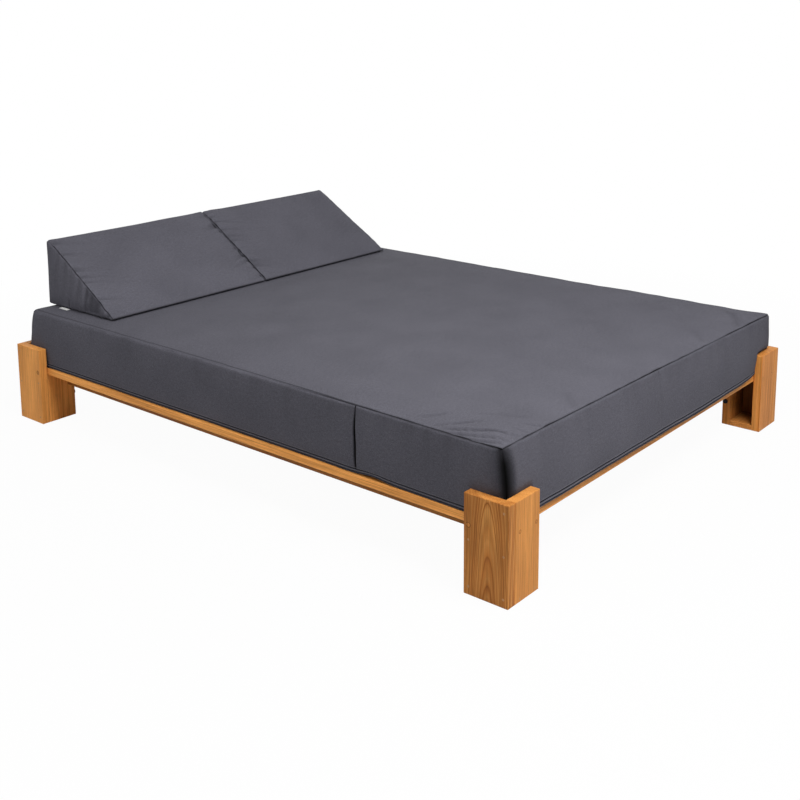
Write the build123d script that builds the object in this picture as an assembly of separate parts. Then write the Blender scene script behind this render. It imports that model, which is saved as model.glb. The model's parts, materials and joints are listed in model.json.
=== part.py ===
from build123d import *
import os
from math import sqrt

# Double chaise lounger: a low teak daybed on four box legs, with one wide
# mattress and two wedge head cushions. Millimetres, +Z up. The origin is on the
# floor under the middle of the bed. -Y is the foot, +Y is the head, -X is left.

os.makedirs("parts", exist_ok=True)

# Frame, over the legs
frame_length = 2060
frame_width = 1600

# Corner legs: boxes of four boards, open towards the middle of the bed
leg_height = 262
leg_width = 132
leg_depth = 132
leg_board = 28
base_plate = 18

# Deck and rails
deck_top = 193
deck_board = 22
side_board_width = 90
end_board_width = 104
slat_width = 95
slat_gap_least = 16
slat_end_gap = 1
rail_thickness = 28
rail_height = 55
bearer_offset = 230

# Eased edges of all boards
arris = 1.2

# Plugged screws through the leg boards into the deck's end boards
screw_fit = 0.1
plug_depth = 8
side_plug_radius = 7
side_screw_radius = 3
side_screw_length = 60
end_plug_radius = 5
end_screw_radius = 2.5
end_screw_length = 52
end_screw_inset = 48
screw_head_height = 3
screw_sides = 8

# Black flat-head bolts in the inner boards' open edges
leg_bolt_head_radius = 8.5
leg_bolt_head = 2.5
leg_bolt_radius = 3
leg_bolt_reach = 115
leg_bolt_edge = 10
leg_bolt_height = 82
bolt_sides = 12
socket_radius = 3
socket_depth = 2
socket_sides = 6
sleeve_radius = 5
sleeve_length = 13
sleeve_sides = 6

# Bolts from inside the leg boxes into the side rails, with barrel nuts
rail_bolt_head_radius = 8.5
rail_bolt_head = 3
rail_bolt_radius = 4
rail_bolt_reach = 84
rail_bolt_drop = 11
barrel_radius = 6
barrel_length = 22
barrel_from_joint = 42
barrel_bore_extra = 3
bolt_fit = 0.2

# Dowels at the rail ends
dowel_radius = 4
dowel_length = 40
dowel_from_edge = 12
dowel_fit = 0.1
dowel_flutes = 12

# Mattress: a block of foam in a sewn cover
seat_gap = 0.3
mattress_from_legs = 2
mattress_height = 190
mattress_crown = 6
mattress_corner = 22
mattress_bottom_tuck = 9
mattress_seam_tuck = 6
mattress_draw = 5
crown_flat_inset = 300
mattress_wall = 14
core_gap = 0.4
floor_of_cover = 3

# Wedge head cushions, side by side
wedge_from_edge = 77.5
wedge_depth = 380
wedge_height = 236
wedge_lean = 8
wedge_back_inset = 12
wedge_between = 1
wedge_toe_radius = 6
wedge_apex_radius = 13
wedge_heel_radius = 13
wedge_front_crown = 9
wedge_back_crown = 6
wedge_end_tuck = 6
wedge_wall = 9

# Blank tab sewn into the near wedge's lower edge
tab_length = 46
tab_width = 14
tab_thickness = 1
tab_from_back = 104

half_length = frame_length / 2
half_width = frame_width / 2
deck_under = deck_top - deck_board
deck_half_width = half_width - leg_board
deck_half_length = half_length - leg_board
leg_open_x = half_width - leg_width
leg_inner_y = half_length - leg_depth
mattress_length = (deck_half_length - mattress_from_legs) * 2
mattress_width = (deck_half_width - mattress_from_legs) * 2
wedge_length = (mattress_width - wedge_between) / 2 - wedge_from_edge
rail_low = deck_under - rail_height
rail_mid = leg_open_x + rail_thickness / 2
inner_board_mid = leg_inner_y + leg_board / 2
deck_mid = deck_top - deck_board / 2

kept = {}


def span(a, b):
    """A pair of coordinates, lower one first."""
    return (min(a, b), max(a, b))


def block(xs, ys, zs):
    """A plain box between pairs of coordinates."""
    size = (xs[1] - xs[0], ys[1] - ys[0], zs[1] - zs[0])
    middle = ((xs[0] + xs[1]) / 2, (ys[0] + ys[1]) / 2, (zs[0] + zs[1]) / 2)
    return Pos(*middle) * Box(*size)


def board(xs, ys, zs):
    """A planed board with eased edges."""
    plain = block(xs, ys, zs)
    return chamfer(plain.edges(), arris)


def rod(radius, start, direction, length):
    """A round bar from a point along a direction."""
    place = Plane(origin=start, z_dir=direction)
    return place * Cylinder(radius, length, align=(Align.CENTER, Align.CENTER, Align.MIN))


def prism(radius, sides, start, direction, length):
    """A bar with flats or flutes from a point along a direction."""
    place = Plane(origin=start, z_dir=direction)
    return place * extrude(RegularPolygon(radius, sides), length)


def wood_screw(start, direction, radius, head_radius, length):
    """Pan-head screw, its head's face at the start."""
    head = prism(head_radius, screw_sides, start, direction, screw_head_height)
    return head + prism(radius, screw_sides, start, direction, length)


def flat_bolt(start, direction, radius, head_radius, head, reach):
    """Flat-head socket bolt: its head stands back from the start, its shank runs forward."""
    back = Vector(*start) - Vector(*direction) * head
    whole = rod(head_radius, back, direction, head) + prism(radius, bolt_sides, start, direction, reach)
    return whole - prism(socket_radius, socket_sides, back, direction, socket_depth)


def keep(name, solid, slot_colour):
    """Write one sub-part's file and note it."""
    solid.label = name
    solid.color = slot_colour
    kept[name] = solid
    export_step(solid, os.path.join("parts", name + ".step"))


teak = Color("peru")
fabric = Color("dimgray")
foam = Color("ivory")
steel = Color("gray")
black = Color("black")

# The four corners and where their fasteners go
corners = {
    "foot_left": (-1, -1),
    "foot_right": (1, -1),
    "head_left": (-1, 1),
    "head_right": (1, 1),
}


def side_screw_start(side, end):
    """Face of the side screw's head, inside the side board."""
    return (side * (half_width - plug_depth), end * inner_board_mid, deck_mid)


def end_screw_starts(side, end):
    """Faces of the end screws' heads, inside the end board."""
    y = end * (half_length - plug_depth)
    far = half_width - end_screw_inset
    near = leg_open_x + leg_board / 2
    return [(side * far, y, deck_mid), (side * near, y, deck_mid)]


def leg_bolt_start(side, end):
    """Middle of the bolt hole in the inner board's open edge."""
    return (side * leg_open_x, end * (leg_inner_y + leg_bolt_edge), leg_bolt_height)


def rail_bolt_start(side, end):
    """Middle of the rail bolt's hole, on the inner board's face in the leg box."""
    return (side * rail_mid, end * (leg_inner_y + leg_board), deck_under - rail_bolt_drop)


def barrel_middle(side, end):
    """Middle of the barrel nut in the side rail."""
    return (side * rail_mid, end * (leg_inner_y - barrel_from_joint), deck_under - rail_bolt_drop)


def side_rail_dowel(side, end):
    """Middle of the dowel between inner board and side rail, and its direction."""
    return (side * rail_mid, end * leg_inner_y, rail_low + dowel_from_edge), (0, 1, 0)


def end_rail_dowel(side, end):
    """Middle of the dowel between inner board's edge and end rail, and its direction."""
    return (side * leg_open_x, end * inner_board_mid, deck_under - rail_height / 2), (1, 0, 0)


def dowel(middle, direction, extra_radius):
    """A dowel, or its hole when it has extra radius."""
    length = dowel_length + extra_radius * 2
    start = Vector(*middle) - Vector(*direction) * (length / 2)
    return prism(dowel_radius + extra_radius, dowel_flutes, start, direction, length)


def drilled(solid, tools):
    """A board with holes cut by a list of tools."""
    for tool in tools:
        solid = solid - tool
    return solid


# Corner legs
plugs_side = []
plugs_end = []
screws_side = []
screws_end = []
bolts_leg = []
sleeves = []
bolts_rail = []
barrels = []
dowels = []
for corner, (side, end) in corners.items():
    out_x = (side, 0, 0)
    in_x = (-side, 0, 0)
    in_y = (0, -end, 0)
    side_start = side_screw_start(side, end)
    side_face = (side * half_width, side_start[1], side_start[2])
    side_bore = rod(side_plug_radius, side_face, in_x, plug_depth + screw_head_height)
    side_shank = prism(side_screw_radius + screw_fit, screw_sides, side_face, in_x, leg_board)
    sleeve_start = (side * deck_half_width, end * (leg_inner_y + leg_bolt_edge), leg_bolt_height)
    sleeve_hole = prism(sleeve_radius + bolt_fit, sleeve_sides, sleeve_start, out_x, sleeve_length)
    bolt_start = leg_bolt_start(side, end)
    bolt_hole = prism(leg_bolt_radius + bolt_fit, bolt_sides, bolt_start, out_x, leg_bolt_reach)
    rail_start = rail_bolt_start(side, end)
    rail_hole = prism(rail_bolt_radius + bolt_fit, bolt_sides, rail_start, in_y, rail_bolt_reach)

    side_board = board(
        span(side * half_width, side * deck_half_width),
        span(end * half_length, end * leg_inner_y),
        (0, leg_height),
    )
    keep(corner + "_leg_side_board", drilled(side_board, [side_bore, side_shank, sleeve_hole]), teak)

    end_board = board(
        span(side * deck_half_width, side * leg_open_x),
        span(end * half_length, end * deck_half_length),
        (0, leg_height),
    )
    end_tools = []
    for start in end_screw_starts(side, end):
        face_point = (start[0], end * half_length, start[2])
        end_tools.append(rod(end_plug_radius, face_point, in_y, plug_depth + screw_head_height))
        end_tools.append(prism(end_screw_radius + screw_fit, screw_sides, face_point, in_y, leg_board))
        plug_end = rod(end_plug_radius - screw_fit, face_point, in_y, plug_depth)
        plugs_end.append(plug_end)
        seat = (start[0], end * (half_length - plug_depth), start[2])
        head_radius = end_plug_radius - screw_fit
        screws_end.append(wood_screw(seat, in_y, end_screw_radius, head_radius, end_screw_length))
    keep(corner + "_leg_end_board", drilled(end_board, end_tools), teak)

    inner_board = board(
        span(side * deck_half_width, side * leg_open_x),
        span(end * (leg_inner_y + leg_board), end * leg_inner_y),
        (0, deck_under),
    )
    inner_tools = [bolt_hole, rail_hole]
    for middle, direction in (side_rail_dowel(side, end), end_rail_dowel(side, end)):
        inner_tools.append(dowel(middle, direction, dowel_fit))
        dowels.append(dowel(middle, direction, 0))
    keep(corner + "_leg_inner_board", drilled(inner_board, inner_tools), teak)

    base = board(
        span(side * deck_half_width, side * leg_open_x),
        span(end * deck_half_length, end * (leg_inner_y + leg_board)),
        (0, base_plate),
    )
    keep(corner + "_leg_base_plate", base, teak)

    plugs_side.append(rod(side_plug_radius - screw_fit, side_face, in_x, plug_depth))
    side_seat = (side * (half_width - plug_depth), side_start[1], side_start[2])
    head_radius = side_plug_radius - screw_fit
    screws_side.append(wood_screw(side_seat, in_x, side_screw_radius, head_radius, side_screw_length))
    bolts_leg.append(
        flat_bolt(bolt_start, out_x, leg_bolt_radius, leg_bolt_head_radius, leg_bolt_head, leg_bolt_reach)
    )
    sleeve_bore = prism(leg_bolt_radius + screw_fit, bolt_sides, sleeve_start, out_x, sleeve_length)
    sleeves.append(prism(sleeve_radius, sleeve_sides, sleeve_start, out_x, sleeve_length) - sleeve_bore)
    bolts_rail.append(
        flat_bolt(rail_start, in_y, rail_bolt_radius, rail_bolt_head_radius, rail_bolt_head, rail_bolt_reach)
    )
    nut_middle = Vector(*barrel_middle(side, end))
    nut_start = nut_middle - Vector(1, 0, 0) * (barrel_length / 2)
    nut_bore_start = nut_middle + Vector(0, end, 0) * (barrel_radius + barrel_bore_extra)
    nut_bore_length = (barrel_radius + barrel_bore_extra) * 2
    nut = rod(barrel_radius, nut_start, (1, 0, 0), barrel_length)
    nut -= prism(rail_bolt_radius + screw_fit, bolt_sides, nut_bore_start, in_y, nut_bore_length)
    barrels.append(nut)

# Deck boards, screwed through the legs
for end, end_name in ((-1, "foot"), (1, "head")):
    whole = board(
        (-deck_half_width, deck_half_width),
        span(end * deck_half_length, end * (deck_half_length - end_board_width)),
        (deck_under, deck_top),
    )
    tools = []
    for side in (-1, 1):
        start = side_screw_start(side, end)
        reach = side_screw_length + screw_fit
        tools.append(prism(side_screw_radius + screw_fit, screw_sides, start, (-side, 0, 0), reach))
        reach = end_screw_length + screw_fit
        for start in end_screw_starts(side, end):
            tools.append(prism(end_screw_radius + screw_fit, screw_sides, start, (0, -end, 0), reach))
    keep("deck_end_board_" + end_name, drilled(whole, tools), teak)

deck_inner_y = deck_half_length - end_board_width
for side, side_name in ((-1, "left"), (1, "right")):
    whole = board(
        span(side * deck_half_width, side * (deck_half_width - side_board_width)),
        (-deck_inner_y, deck_inner_y),
        (deck_under, deck_top),
    )
    keep("deck_side_board_" + side_name, whole, teak)

slat_half = deck_half_width - side_board_width - slat_end_gap
slat_count = int((2 * deck_inner_y - slat_gap_least) / (slat_width + slat_gap_least))
slat_gap = (2 * deck_inner_y - slat_count * slat_width) / (slat_count + 1)
for index in range(slat_count):
    low = -deck_inner_y + slat_gap + index * (slat_width + slat_gap)
    slat = board((-slat_half, slat_half), (low, low + slat_width), (deck_under, deck_top))
    keep("slat_%02d" % (index + 1), slat, teak)

# Recessed rails and bearers under the deck
for side, side_name in ((-1, "left"), (1, "right")):
    whole = board(
        span(side * leg_open_x, side * (leg_open_x + rail_thickness)),
        (-leg_inner_y, leg_inner_y),
        (rail_low, deck_under),
    )
    tools = []
    for end in (-1, 1):
        rail_start = rail_bolt_start(side, end)
        reach = rail_bolt_reach + bolt_fit
        tools.append(prism(rail_bolt_radius + bolt_fit, bolt_sides, rail_start, (0, -end, 0), reach))
        nut_middle = Vector(*barrel_middle(side, end))
        mouth = Vector(side * leg_open_x, nut_middle.Y, nut_middle.Z)
        nut_depth = (rail_thickness + barrel_length) / 2
        tools.append(rod(barrel_radius + screw_fit, mouth, (side, 0, 0), nut_depth))
        middle, direction = side_rail_dowel(side, end)
        tools.append(dowel(middle, direction, dowel_fit))
    keep("side_rail_" + side_name, drilled(whole, tools), teak)

for end, end_name in ((-1, "foot"), (1, "head")):
    whole = board(
        (-leg_open_x, leg_open_x),
        span(end * leg_inner_y, end * (leg_inner_y + rail_thickness)),
        (rail_low, deck_under),
    )
    tools = []
    for side in (-1, 1):
        middle, direction = end_rail_dowel(side, end)
        tools.append(dowel(middle, direction, dowel_fit))
    keep("end_rail_" + end_name, drilled(whole, tools), teak)

for side, side_name in ((-1, "left"), (1, "right")):
    middle_x = side * bearer_offset
    whole = board(
        (middle_x - rail_thickness / 2, middle_x + rail_thickness / 2),
        (-leg_inner_y, leg_inner_y),
        (rail_low, deck_under),
    )
    keep("bearer_" + side_name, whole, teak)

# Fasteners, each kind in one group
keep("side_plugs", Compound(children=plugs_side), teak)
keep("end_plugs", Compound(children=plugs_end), teak)
keep("side_screws", Compound(children=screws_side), steel)
keep("end_screws", Compound(children=screws_end), steel)
keep("leg_bolts", Compound(children=bolts_leg), black)
keep("leg_bolt_sleeves", Compound(children=sleeves), steel)
keep("rail_bolts", Compound(children=bolts_rail), black)
keep("rail_barrel_nuts", Compound(children=barrels), steel)
keep("rail_dowels", Compound(children=dowels), teak)

# Mattress: seen from above its sides are drawn in a little between the corners,
# seen from the end they bulge between the bottom edge and the top seam
mattress_low = deck_top + seat_gap
mattress_seam = mattress_low + mattress_height
mattress_top = mattress_seam + mattress_crown
diagonal_share = sqrt(0.5)


def cushion_outline(inset, draw, z):
    """Closed outline of the mattress at one height: four corners, four drawn-in sides."""
    x = mattress_width / 2 - inset
    y = mattress_length / 2 - inset
    r = mattress_corner
    cut = r * (1 - diagonal_share)
    edges = []
    for sx, sy in ((1, 1), (-1, 1), (-1, -1), (1, -1)):
        to_x = (sx * x, sy * (y - r))
        to_y = (sx * (x - r), sy * y)
        first, last = (to_x, to_y) if sx * sy > 0 else (to_y, to_x)
        edges.append(ThreePointArc(first, (sx * (x - cut), sy * (y - cut)), last))
        if sx * sy > 0:
            edges.append(ThreePointArc(last, (0, sy * (y - draw)), (-sx * (x - r), sy * y)))
        else:
            edges.append(ThreePointArc(last, (sx * (x - draw), 0), (sx * x, -sy * (y - r))))
    return Pos(0, 0, z) * make_face(edges)


# Heights in the side as shares of the mattress's height, with the inset as a
# share of the tuck at that edge
side_height_shares = (0, 0.07, 0.35, 0.72, 0.94, 1)
side_tuck_shares = (1, 0.3, 0, 0, 0.35, 1)
crown_height_shares = (0, 0.5, 0.86, 1)
crown_inset_shares = (0, 0.2, 0.6, 1)
low_part_share = 0.5

side_sections = []
for height_share, tuck_share in zip(side_height_shares, side_tuck_shares):
    tuck = mattress_bottom_tuck if height_share < low_part_share else mattress_seam_tuck
    z = mattress_low + height_share * mattress_height
    side_sections.append(cushion_outline(tuck * tuck_share, mattress_draw, z))
crown_sections = []
for height_share, inset_share in zip(crown_height_shares, crown_inset_shares):
    inset = mattress_seam_tuck + inset_share * (crown_flat_inset - mattress_seam_tuck)
    z = mattress_seam + height_share * mattress_crown
    crown_sections.append(cushion_outline(inset, mattress_draw, z))
mattress_form = loft(side_sections, ruled=True) + loft(crown_sections, ruled=True)


def mattress_block(wall):
    """The foam block, held in from the mattress's sides by a wall."""
    x = mattress_width / 2 - wall
    y = mattress_length / 2 - wall
    low = mattress_low + floor_of_cover * wall / mattress_wall
    high = mattress_seam - floor_of_cover * wall / mattress_wall
    return block((-x, x), (-y, y), (low, high))


mattress_cover = mattress_form - mattress_block(mattress_wall - core_gap)
keep("mattress_cover", mattress_cover, fabric)
keep("mattress_core", mattress_block(mattress_wall), foam)

# Wedges: a triangle with crowned front and back, lofted from end to end
wedge_low = mattress_top + seat_gap
wedge_back = mattress_length / 2 - wedge_back_inset
wedge_toe = wedge_back - wedge_depth
wedge_apex_y = wedge_back - wedge_lean
wedge_apex_z = wedge_low + wedge_height

# Places along a wedge as shares of its length, the tuck there as a share of
# the tuck at its ends, and the crown as a share of the full crown
wedge_place_shares = (0, 0.03, 0.15, 0.5, 0.85, 0.97, 1)
wedge_tuck_shares = (1, 0.35, 0, 0, 0, 0.35, 1)
wedge_crown_shares = (0.4, 0.7, 0.95, 1, 0.95, 0.7, 0.4)


def bulged(a, b, crown):
    """Middle of an arc from a to b that stands out to the left of the way there."""
    along = (b - a).normalized()
    return (a + b) / 2 + Vector(-along.Y, along.X, 0) * crown


def wedge_section(tuck, crown_share):
    """Cross-section in a plane whose X is the bed's Y and whose Y is height."""
    toe = Vector(wedge_toe + tuck, wedge_low, 0)
    heel = Vector(wedge_back - tuck, wedge_low, 0)
    apex = Vector(wedge_apex_y - tuck, wedge_apex_z - tuck, 0)
    front = ThreePointArc(toe, bulged(toe, apex, wedge_front_crown * crown_share), apex)
    back = ThreePointArc(apex, bulged(apex, heel, wedge_back_crown * crown_share), heel)
    face = make_face([front, back, Line(heel, toe)])
    for point, radius in ((toe, wedge_toe_radius), (heel, wedge_heel_radius), (apex, wedge_apex_radius)):
        corner = face.vertices().sort_by_distance(point)[0]
        face = fillet(corner, radius)
    return face


def wedge_form(x_from, x_to):
    """The crowned wedge between two places across the bed."""
    sections = []
    for place, tuck, crown in zip(wedge_place_shares, wedge_tuck_shares, wedge_crown_shares):
        x = x_from + place * (x_to - x_from)
        plane = Plane(origin=(x, 0, 0), x_dir=(0, 1, 0), z_dir=(1, 0, 0))
        sections.append(plane * wedge_section(wedge_end_tuck * tuck, crown))
    return loft(sections, ruled=True)


def wedge_block(x_from, x_to, wall):
    """The foam wedge, held in from the cover's faces by a wall."""
    toe = (wedge_toe, wedge_low)
    heel = (wedge_back, wedge_low)
    apex = (wedge_apex_y, wedge_apex_z)
    plane = Plane(origin=(x_from + wall, 0, 0), x_dir=(0, 1, 0), z_dir=(1, 0, 0))
    face = offset(make_face(Polyline(toe, heel, apex, close=True)), -wall, kind=Kind.INTERSECTION)
    return extrude(plane * face, x_to - x_from - 2 * wall)


for side, side_name in ((-1, "left"), (1, "right")):
    ends = span(side * wedge_between / 2, side * (wedge_between / 2 + wedge_length))
    cover = wedge_form(*ends) - wedge_block(*ends, wedge_wall - core_gap)
    keep("wedge_cover_" + side_name, cover, fabric)
    keep("wedge_core_" + side_name, wedge_block(*ends, wedge_wall), foam)

tab_x = -(wedge_between / 2 + wedge_length)
tab_y = wedge_back - tab_from_back
tab = block(
    (tab_x - tab_width, tab_x),
    (tab_y - tab_length / 2, tab_y + tab_length / 2),
    (wedge_low, wedge_low + tab_thickness),
)
keep("wedge_tab", tab, Color("white"))

print("nodes", len(kept))
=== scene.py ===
import json
import math

import bpy
import numpy as np
from mathutils import Matrix, Vector


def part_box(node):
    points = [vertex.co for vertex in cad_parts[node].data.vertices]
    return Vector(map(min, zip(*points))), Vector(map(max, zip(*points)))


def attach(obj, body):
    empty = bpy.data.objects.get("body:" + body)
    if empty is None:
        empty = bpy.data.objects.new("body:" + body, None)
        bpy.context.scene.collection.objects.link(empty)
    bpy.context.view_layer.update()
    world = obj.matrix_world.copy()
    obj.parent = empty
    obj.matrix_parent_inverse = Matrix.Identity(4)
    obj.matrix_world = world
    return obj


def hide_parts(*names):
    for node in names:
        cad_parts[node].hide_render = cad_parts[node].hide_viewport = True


# Double chaise lounger: teak daybed with a wide mattress and two wedge cushions.
# Metres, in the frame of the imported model: -Y is the foot, -X the left side.

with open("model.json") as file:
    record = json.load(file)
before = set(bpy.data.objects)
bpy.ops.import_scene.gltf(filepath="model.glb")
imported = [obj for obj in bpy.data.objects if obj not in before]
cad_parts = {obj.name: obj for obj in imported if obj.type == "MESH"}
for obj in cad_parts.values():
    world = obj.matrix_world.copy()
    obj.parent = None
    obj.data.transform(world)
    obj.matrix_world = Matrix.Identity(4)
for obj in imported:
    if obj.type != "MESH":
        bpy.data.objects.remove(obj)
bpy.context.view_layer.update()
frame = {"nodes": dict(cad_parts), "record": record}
mm = 0.001

# Places that come from the frame
cover_low, cover_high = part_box("mattress_cover")
wedge_low, wedge_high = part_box("wedge_cover_left")
leg_low, leg_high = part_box("foot_left_leg_side_board")
inner_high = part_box("foot_left_leg_inner_board")[1]
plate_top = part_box("foot_left_leg_base_plate")[1].z - 0.5 * mm
half_width = -leg_low.x
half_length = -leg_low.y
leg_board = leg_high.x - leg_low.x
leg_inner_x = -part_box("foot_left_leg_end_board")[1].x
leg_inner_y = -leg_high.y
pocket_x = half_width - leg_board
pocket_y = half_length - leg_board

# Camera, solved from the legs in the photograph
image_px = 800
focal_px = 1153.1
centre_px = 403.1
camera_shift_y = -0.25
camera_place = Vector((-2.8987, -2.4612, 1.4342))
camera_yaw = math.radians(50.20)
camera_pitch = math.radians(9.94)
camera_roll = math.radians(0.29)
sensor = 36.0

# Broad soft lights: power, place, the place they point at, and size
studio_lights = {
    "studio_key": (113.0, (-0.6, -2.4, 3.0), (0.0, -0.35, 0.3), (1.8, 1.1)),
    "studio_over": (22.0, (-0.9, -1.0, 3.0), (0.0, -0.35, 0.3), (1.8, 1.1)),
    "studio_fill": (20.0, (-2.9, 1.2, 1.7), (-0.6, 0.35, 0.3), (1.6, 1.0)),
    "studio_back": (24.0, (2.7, 2.5, 1.7), (0.0, -0.35, 0.3), (1.6, 1.0)),
}
sky_strength = 0.2
floor_reach = 14.0
floor_white_share = 0.965
floor_white_from = 1.2
floor_white_to = 2.8
floor_colour = (0.62, 0.62, 0.62)


def socket_of(sockets, name):
    """The socket in use that has a name."""
    return next(s for s in sockets if s.name == name and s.enabled)


class Wiring:
    """A node tree and short ways to add to it. Every input is a socket or a plain value."""

    def __init__(self, tree):
        self.tree = tree

    def feed(self, made, inputs):
        """Connect or set a node's inputs, by name or number."""
        for name, value in inputs.items():
            socket = made.inputs[name] if isinstance(name, int) else socket_of(made.inputs, name)
            if isinstance(value, bpy.types.NodeSocket):
                self.tree.links.new(value, socket)
            else:
                socket.default_value = value

    def add(self, kind, inputs=None, **settings):
        """A new node with its settings and inputs."""
        made = self.tree.nodes.new(kind)
        for name, value in settings.items():
            setattr(made, name, value)
        self.feed(made, inputs or {})
        return made

    def math(self, operation, *values):
        """One math step."""
        return self.add("ShaderNodeMath", dict(enumerate(values)), operation=operation).outputs[0]

    def times(self, first, second):
        """The product of two values."""
        return self.math("MULTIPLY", first, second)

    def line(self, value, slope, start):
        """A value times a slope, plus a start."""
        return self.math("MULTIPLY_ADD", value, slope, start)

    def ranged(self, value, low, high, start=0.0):
        """A value between low and high as a share from start to 1."""
        return self.add("ShaderNodeMapRange", {"Value": value, "From Min": low, "From Max": high,
                                               "To Min": start}).outputs["Result"]

    def place(self):
        """Where a point is on its object."""
        return self.add("ShaderNodeTexCoord").outputs["Object"]

    def split(self, vector):
        """The X, Y and Z of a vector."""
        return self.add("ShaderNodeSeparateXYZ", {"Vector": vector}).outputs

    def noise(self, place, scale=1.0, detail=2.0, rough=0.5, bend=0.0, output="Fac"):
        """Smooth noise over places."""
        return self.add("ShaderNodeTexNoise", {"Vector": place, "Scale": scale, "Detail": detail,
                                               "Roughness": rough, "Distortion": bend}).outputs[output]

    def noise_along(self, value):
        """Smooth noise along one value."""
        made = self.add("ShaderNodeTexNoise", {"W": value, "Scale": 1.0}, noise_dimensions="1D")
        return made.outputs["Fac"]

    def ramp(self, factor, *stops):
        """A colour ramp from (place, colour) stops, where a number is a grey."""
        made = self.add("ShaderNodeValToRGB", {"Fac": factor})
        elements = made.color_ramp.elements
        while len(elements) < len(stops):
            elements.new(0.5)
        for element, (place, colour) in zip(elements, stops):
            element.position = place
            element.color = (*(colour if isinstance(colour, tuple) else (colour,) * 3), 1)
        return made.outputs["Color"]

    def mix(self, factor, first, second, blend="MIX"):
        """A mix of two colours."""
        first, second = (c if isinstance(c, bpy.types.NodeSocket) else (*c, 1) for c in (first, second))
        made = self.add("ShaderNodeMix", {"Factor": factor, "A": first, "B": second},
                        data_type="RGBA", blend_type=blend)
        return socket_of(made.outputs, "Result")

    def shaded(self, colour, value, *stops):
        """A colour multiplied by a ramp."""
        return self.mix(1.0, colour, self.ramp(value, *stops), "MULTIPLY")

    def bump(self, height, strength, distance, **under):
        """A normal from a height, on top of another normal if one is given."""
        return self.add("ShaderNodeBump", {"Height": height, "Strength": strength, "Distance": distance,
                                           **under}).outputs["Normal"]


def new_material(name):
    """A new material, its wiring and its principled shader."""
    made = bpy.data.materials.new(name)
    made.use_nodes = True
    return made, Wiring(made.node_tree), made.node_tree.nodes["Principled BSDF"]


def toned(colour, factor):
    """A colour made paler or darker."""
    return tuple(c * factor for c in colour)


def between(first, second, share):
    """A colour at a share of the way from one to another."""
    return tuple(a + (b - a) * share for a, b in zip(first, second))


# Teak: growth rings round a pith line that runs nearly along the board
teak_light = (0.70, 0.325, 0.088)
teak_mid = (0.53, 0.185, 0.036)
teak_dark = (0.24, 0.068, 0.012)
teak_roughness = 0.61
ring_width = 3.7 * mm
# How fast each noise in the teak changes along and across the grain, per metre
teak_noises = {"wander": (2.2, 7.0), "streaks": (7.0, 330.0), "pores": (38.0, 1500.0),
               "patches": (3.0, 14.0)}


def teak(name, grain, pith, tilt, tone, gold, seed, contrast, shade):
    """Oiled teak. pith is the pith line's place across the grain, tilt its slope, gold how pale it is."""
    made, t, shader = new_material(name)
    place = t.place()
    split = t.split(place)
    along, *sides = (split[letter] for letter in {"x": "XYZ", "y": "YXZ", "z": "ZXY"}[grain])

    def stretched(noise_name):
        along_scale, across_scale = teak_noises[noise_name]
        parts = (t.line(along, along_scale, seed), *(t.times(side, across_scale) for side in sides))
        return t.add("ShaderNodeCombineXYZ", dict(zip("XYZ", parts))).outputs["Vector"]

    # Rings by the distance from the pith line, bent and unevenly wide
    wander = t.split(t.noise(stretched("wander"), output="Color"))
    squares = []
    for side, start, slope, letter in zip(sides, pith, tilt, "XY"):
        straight = t.math("ADD", side, t.line(along, -slope, -start))
        away = t.math("ADD", straight, t.line(wander[letter], 0.014, -0.007))
        squares.append(t.times(away, away))
    phase = t.math("DIVIDE", t.math("SQRT", t.math("ADD", *squares)), ring_width)
    uneven = t.noise_along(t.times(phase, 0.42))
    phase = t.line(uneven, 2.6, phase)
    turn = t.math("FRACT", phase)
    light = toned(teak_light, tone)
    mid = toned(between(teak_mid, teak_light, gold * 0.7), tone)
    dark = between(mid, toned(teak_dark, tone), contrast)
    rings = t.ramp(turn, (0.0, mid), (0.25, light), (0.62, mid), (0.84, between(mid, dark, 0.5)),
                   (0.93, dark), (1.0, mid))
    strength = t.line(t.noise_along(t.times(phase, 0.9)), 1.5, -0.2)
    wood = t.mix(t.math("MINIMUM", strength, 1.0), t.ramp(uneven, (0.3, light), (0.7, mid)), rings)
    # Fine streaks and pores along the grain, then broad patches
    streaks = t.noise(stretched("streaks"), detail=4.0, rough=0.6)
    strong = 0.4 + 0.6 * contrast
    wood = t.shaded(wood, streaks, (0.34, 1 - 0.34 * strong), (0.5, 0.98), (0.68, 1 + 0.2 * strong))
    pores = t.ramp(t.noise(stretched("pores"), detail=1.0), (0.62, 0.0), (0.72, 1.0))
    wood = t.mix(t.times(pores, 0.4), wood, toned(teak_dark, 0.5))
    wood = t.shaded(wood, t.noise(stretched("patches")), (0.3, (0.84, 0.78, 0.72)), (0.7, (1.12, 1.1, 1.06)))
    if shade:
        wood = shade(t, place, wood)
    height = t.line(turn, -0.25, t.math("SUBTRACT", streaks, t.times(pores, 0.8)))
    t.feed(shader, {"Base Color": wood, "Roughness": t.line(streaks, -0.22, teak_roughness),
                    "Specular IOR Level": 0.12, "Normal": t.bump(height, 0.35, 0.35 * mm)})
    return made


# Charcoal cloth: a fine plain weave on the cover's own panel coordinates
cloth_colour = (0.0995, 0.0975, 0.117)
# Painted light: the wedges get a paler copy of the mattress's cloth, for how the light falls on their slopes
wedge_painted_light = 1.13
yarn_pitch = 0.9 * mm
cloud_scale = 5.0
crease_scale = 26.0
grain_scale = 120.0
fleck_scale = 330.0
slub_scales = (40.0, 900.0, 1.0)
# Painted shade: a near-black colour that the cloth is mixed towards in its seams, creases, gaps and under
# its edges
painted_shade_colour = (0.002, 0.002, 0.002)


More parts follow.
